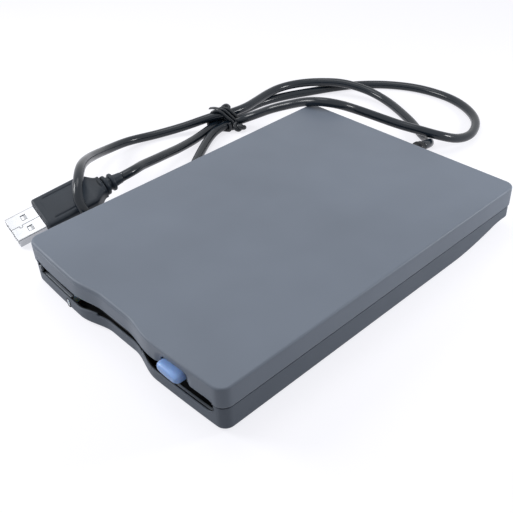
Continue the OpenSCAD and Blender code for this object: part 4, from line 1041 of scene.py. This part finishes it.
def makeLeadScrew(s):
    # rod whose radius dips along a helix: r = radius - depth * pulse(angle - 2 pi y / lead)
    y = np.linspace(25.9, 49.7, 200)
    t = -np.linspace(0, 2 * np.pi, 40, endpoint=False)
    yy, tt = np.meshgrid(y, t, indexing="ij")
    phase = np.mod(-tt / (2 * np.pi) - yy / s["lead"], 1.0)
    r = s["radius"] - s["depth"] * np.exp(-((phase - 0.5) / 0.12) ** 2)
    pts = np.stack([17 + r * np.cos(tt), yy, 6.9 + r * np.sin(tt)], -1).reshape(-1, 3)
    body = (pts, [gridQuads(200, 40, closeCols=True)])
    ends = [latheParts([(0.5, 24.3), (0.6, 24.4), (0.6, 25.7), (1.15, 25.9)], (17, 0, 6.9), (0, 1, 0), 24),
            latheParts([(1.15, 49.7), (0.8, 49.9), (0.8, 52.5), (0.7, 52.6)], (17, 0, 6.9), (0, 1, 0), 24)]
    return addMesh("leadScrew", [body] + ends, finishes["turned"], body="screw", slot="turned_steel",
                   replaces=("lead_screw",), autoAngle=40)


makeLeadScrew(threadShape)
print("springs and lead screw made")


# ---------- finishes of the nodes that stay as they are

stayingNodes = {
    "lens": ("indicator_led",),
    "sheet": ("slide_plate", "disk_holder", "shield_plate", "spindle_rotor", "head_arm",
              "stepper_motor", "trigger_lever"),
    # the chassis takes the darkened sheet, painted shade of the drive's inside
    "chassis": ("chassis",),
    "turned": ("chassis_screws", "spindle_hub", "drive_pin", "guide_rods"),
    "board": ("motor_board", "sensor_boards", "main_board", "usb_board"),
    "bronze": ("spindle_bearing",),
    "copper": ("stator_core",),
    "magnet": ("rotor_magnet",),
    "black": ("head_carriage", "track_sensor"),
    "ceramic": ("lower_head", "upper_head"),
    "cream": ("screw_follower", "sensor_blocks", "write_protect_plunger", "disk_in_plunger",
              "density_plunger"),
    "spring": ("arm_spring",),
    "chip": ("board_chips", "usb_chips"),
    "film": ("flat_cable",)}
for finish, names in stayingNodes.items():
    for node in [nodes[n] for n in names]:
        if not node.material_slots:
            node.data.materials.append(finishes[finish])
        for nodeSlot in node.material_slots:
            nodeSlot.material = finishes[finish]
print("inner parts finished:", sum(map(len, stayingNodes.values())))


# ---------- floor, backdrop and light

studio = {"floorTint": (0.33, 0.33, 0.34), "glow": (0.955, 0.955, 1.0), "lift": 0.79, "worldLight": 0.38,
          "key": 0.66, "top": 0.46, "rim": 0.27}


def seenRays(tree):
    # 1 for rays of the camera, of gloss and through glass, else 0
    rays = tree.nodes.new("ShaderNodeLightPath")
    seen = rays.outputs["Is Camera Ray"]
    for kind in ("Is Glossy Ray", "Is Transmission Ray"):
        either = tree.nodes.new("ShaderNodeMath")
        either.operation = "MAXIMUM"
        tree.links.new(seen, either.inputs[0])
        tree.links.new(rays.outputs[kind], either.inputs[1])
        seen = either.outputs[0]
    return seen


def makeFloor(s):
    size = 4.0
    mesh = bpy.data.meshes.new("floor")
    mesh.from_pydata([(-size, -size, 0), (size, -size, 0), (size, size, 0), (-size, size, 0)], [],
                     [(0, 1, 2, 3)])
    addObject("floor", mesh)
    mat = bpy.data.materials.new("floorPaper")
    mat.use_nodes = True
    tree = mat.node_tree
    tree.nodes.clear()
    out = tree.nodes.new("ShaderNodeOutputMaterial")
    diffuse = tree.nodes.new("ShaderNodeBsdfDiffuse")
    diffuse.inputs[0].default_value = (*s["floorTint"], 1)
    glow = tree.nodes.new("ShaderNodeEmission")
    glow.inputs["Color"].default_value = (*s["glow"], 1)
    tree.links.new(rangeNode(tree, seenRays(tree), 0.0, s["lift"]), glow.inputs["Strength"])
    both = tree.nodes.new("ShaderNodeAddShader")
    tree.links.new(diffuse.outputs[0], both.inputs[0])
    tree.links.new(glow.outputs[0], both.inputs[1])
    tree.links.new(both.outputs[0], out.inputs[0])
    mesh.materials.append(mat)


def makeWorld(s):
    world = bpy.data.worlds.new("studio")
    bpy.context.scene.world = world
    world.use_nodes = True
    tree = world.node_tree
    tree.nodes.clear()
    out = tree.nodes.new("ShaderNodeOutputWorld")
    back = tree.nodes.new("ShaderNodeBackground")
    tree.links.new(rangeNode(tree, seenRays(tree), s["worldLight"], 1.0), back.inputs["Strength"])
    back.inputs["Color"].default_value = (1, 1, 1, 1)
    tree.links.new(back.outputs[0], out.inputs[0])


def addArea(name, place, target, size, power, color=(1, 1, 1)):
    data = bpy.data.lights.new(name, "AREA")
    data.shape, data.size, data.energy, data.color = "DISK", size, power, color
    place, target = np.array(place, float), np.array(target, float)
    back = (place - target) / np.linalg.norm(place - target)
    side = np.cross([0, 0, 1.0], back)
    side /= np.linalg.norm(side)
    placeObject(addObject(name, data), side, np.cross(back, side), back, place)


makeFloor(studio)
makeWorld(studio)
addArea("keyLight", (-0.27, -0.21, 0.2), (0, -0.02, 0.01), 0.16, studio["key"])
addArea("topLight", (-0.15, 0.06, 0.48), (0, 0, 0), 0.3, studio["top"])
addArea("rimLight", (0.17, 0.19, 0.11), (0.03, 0.03, 0.01), 0.07, studio["rim"])
bpy.context.scene.view_settings.view_transform = "Standard"
print("studio ready")
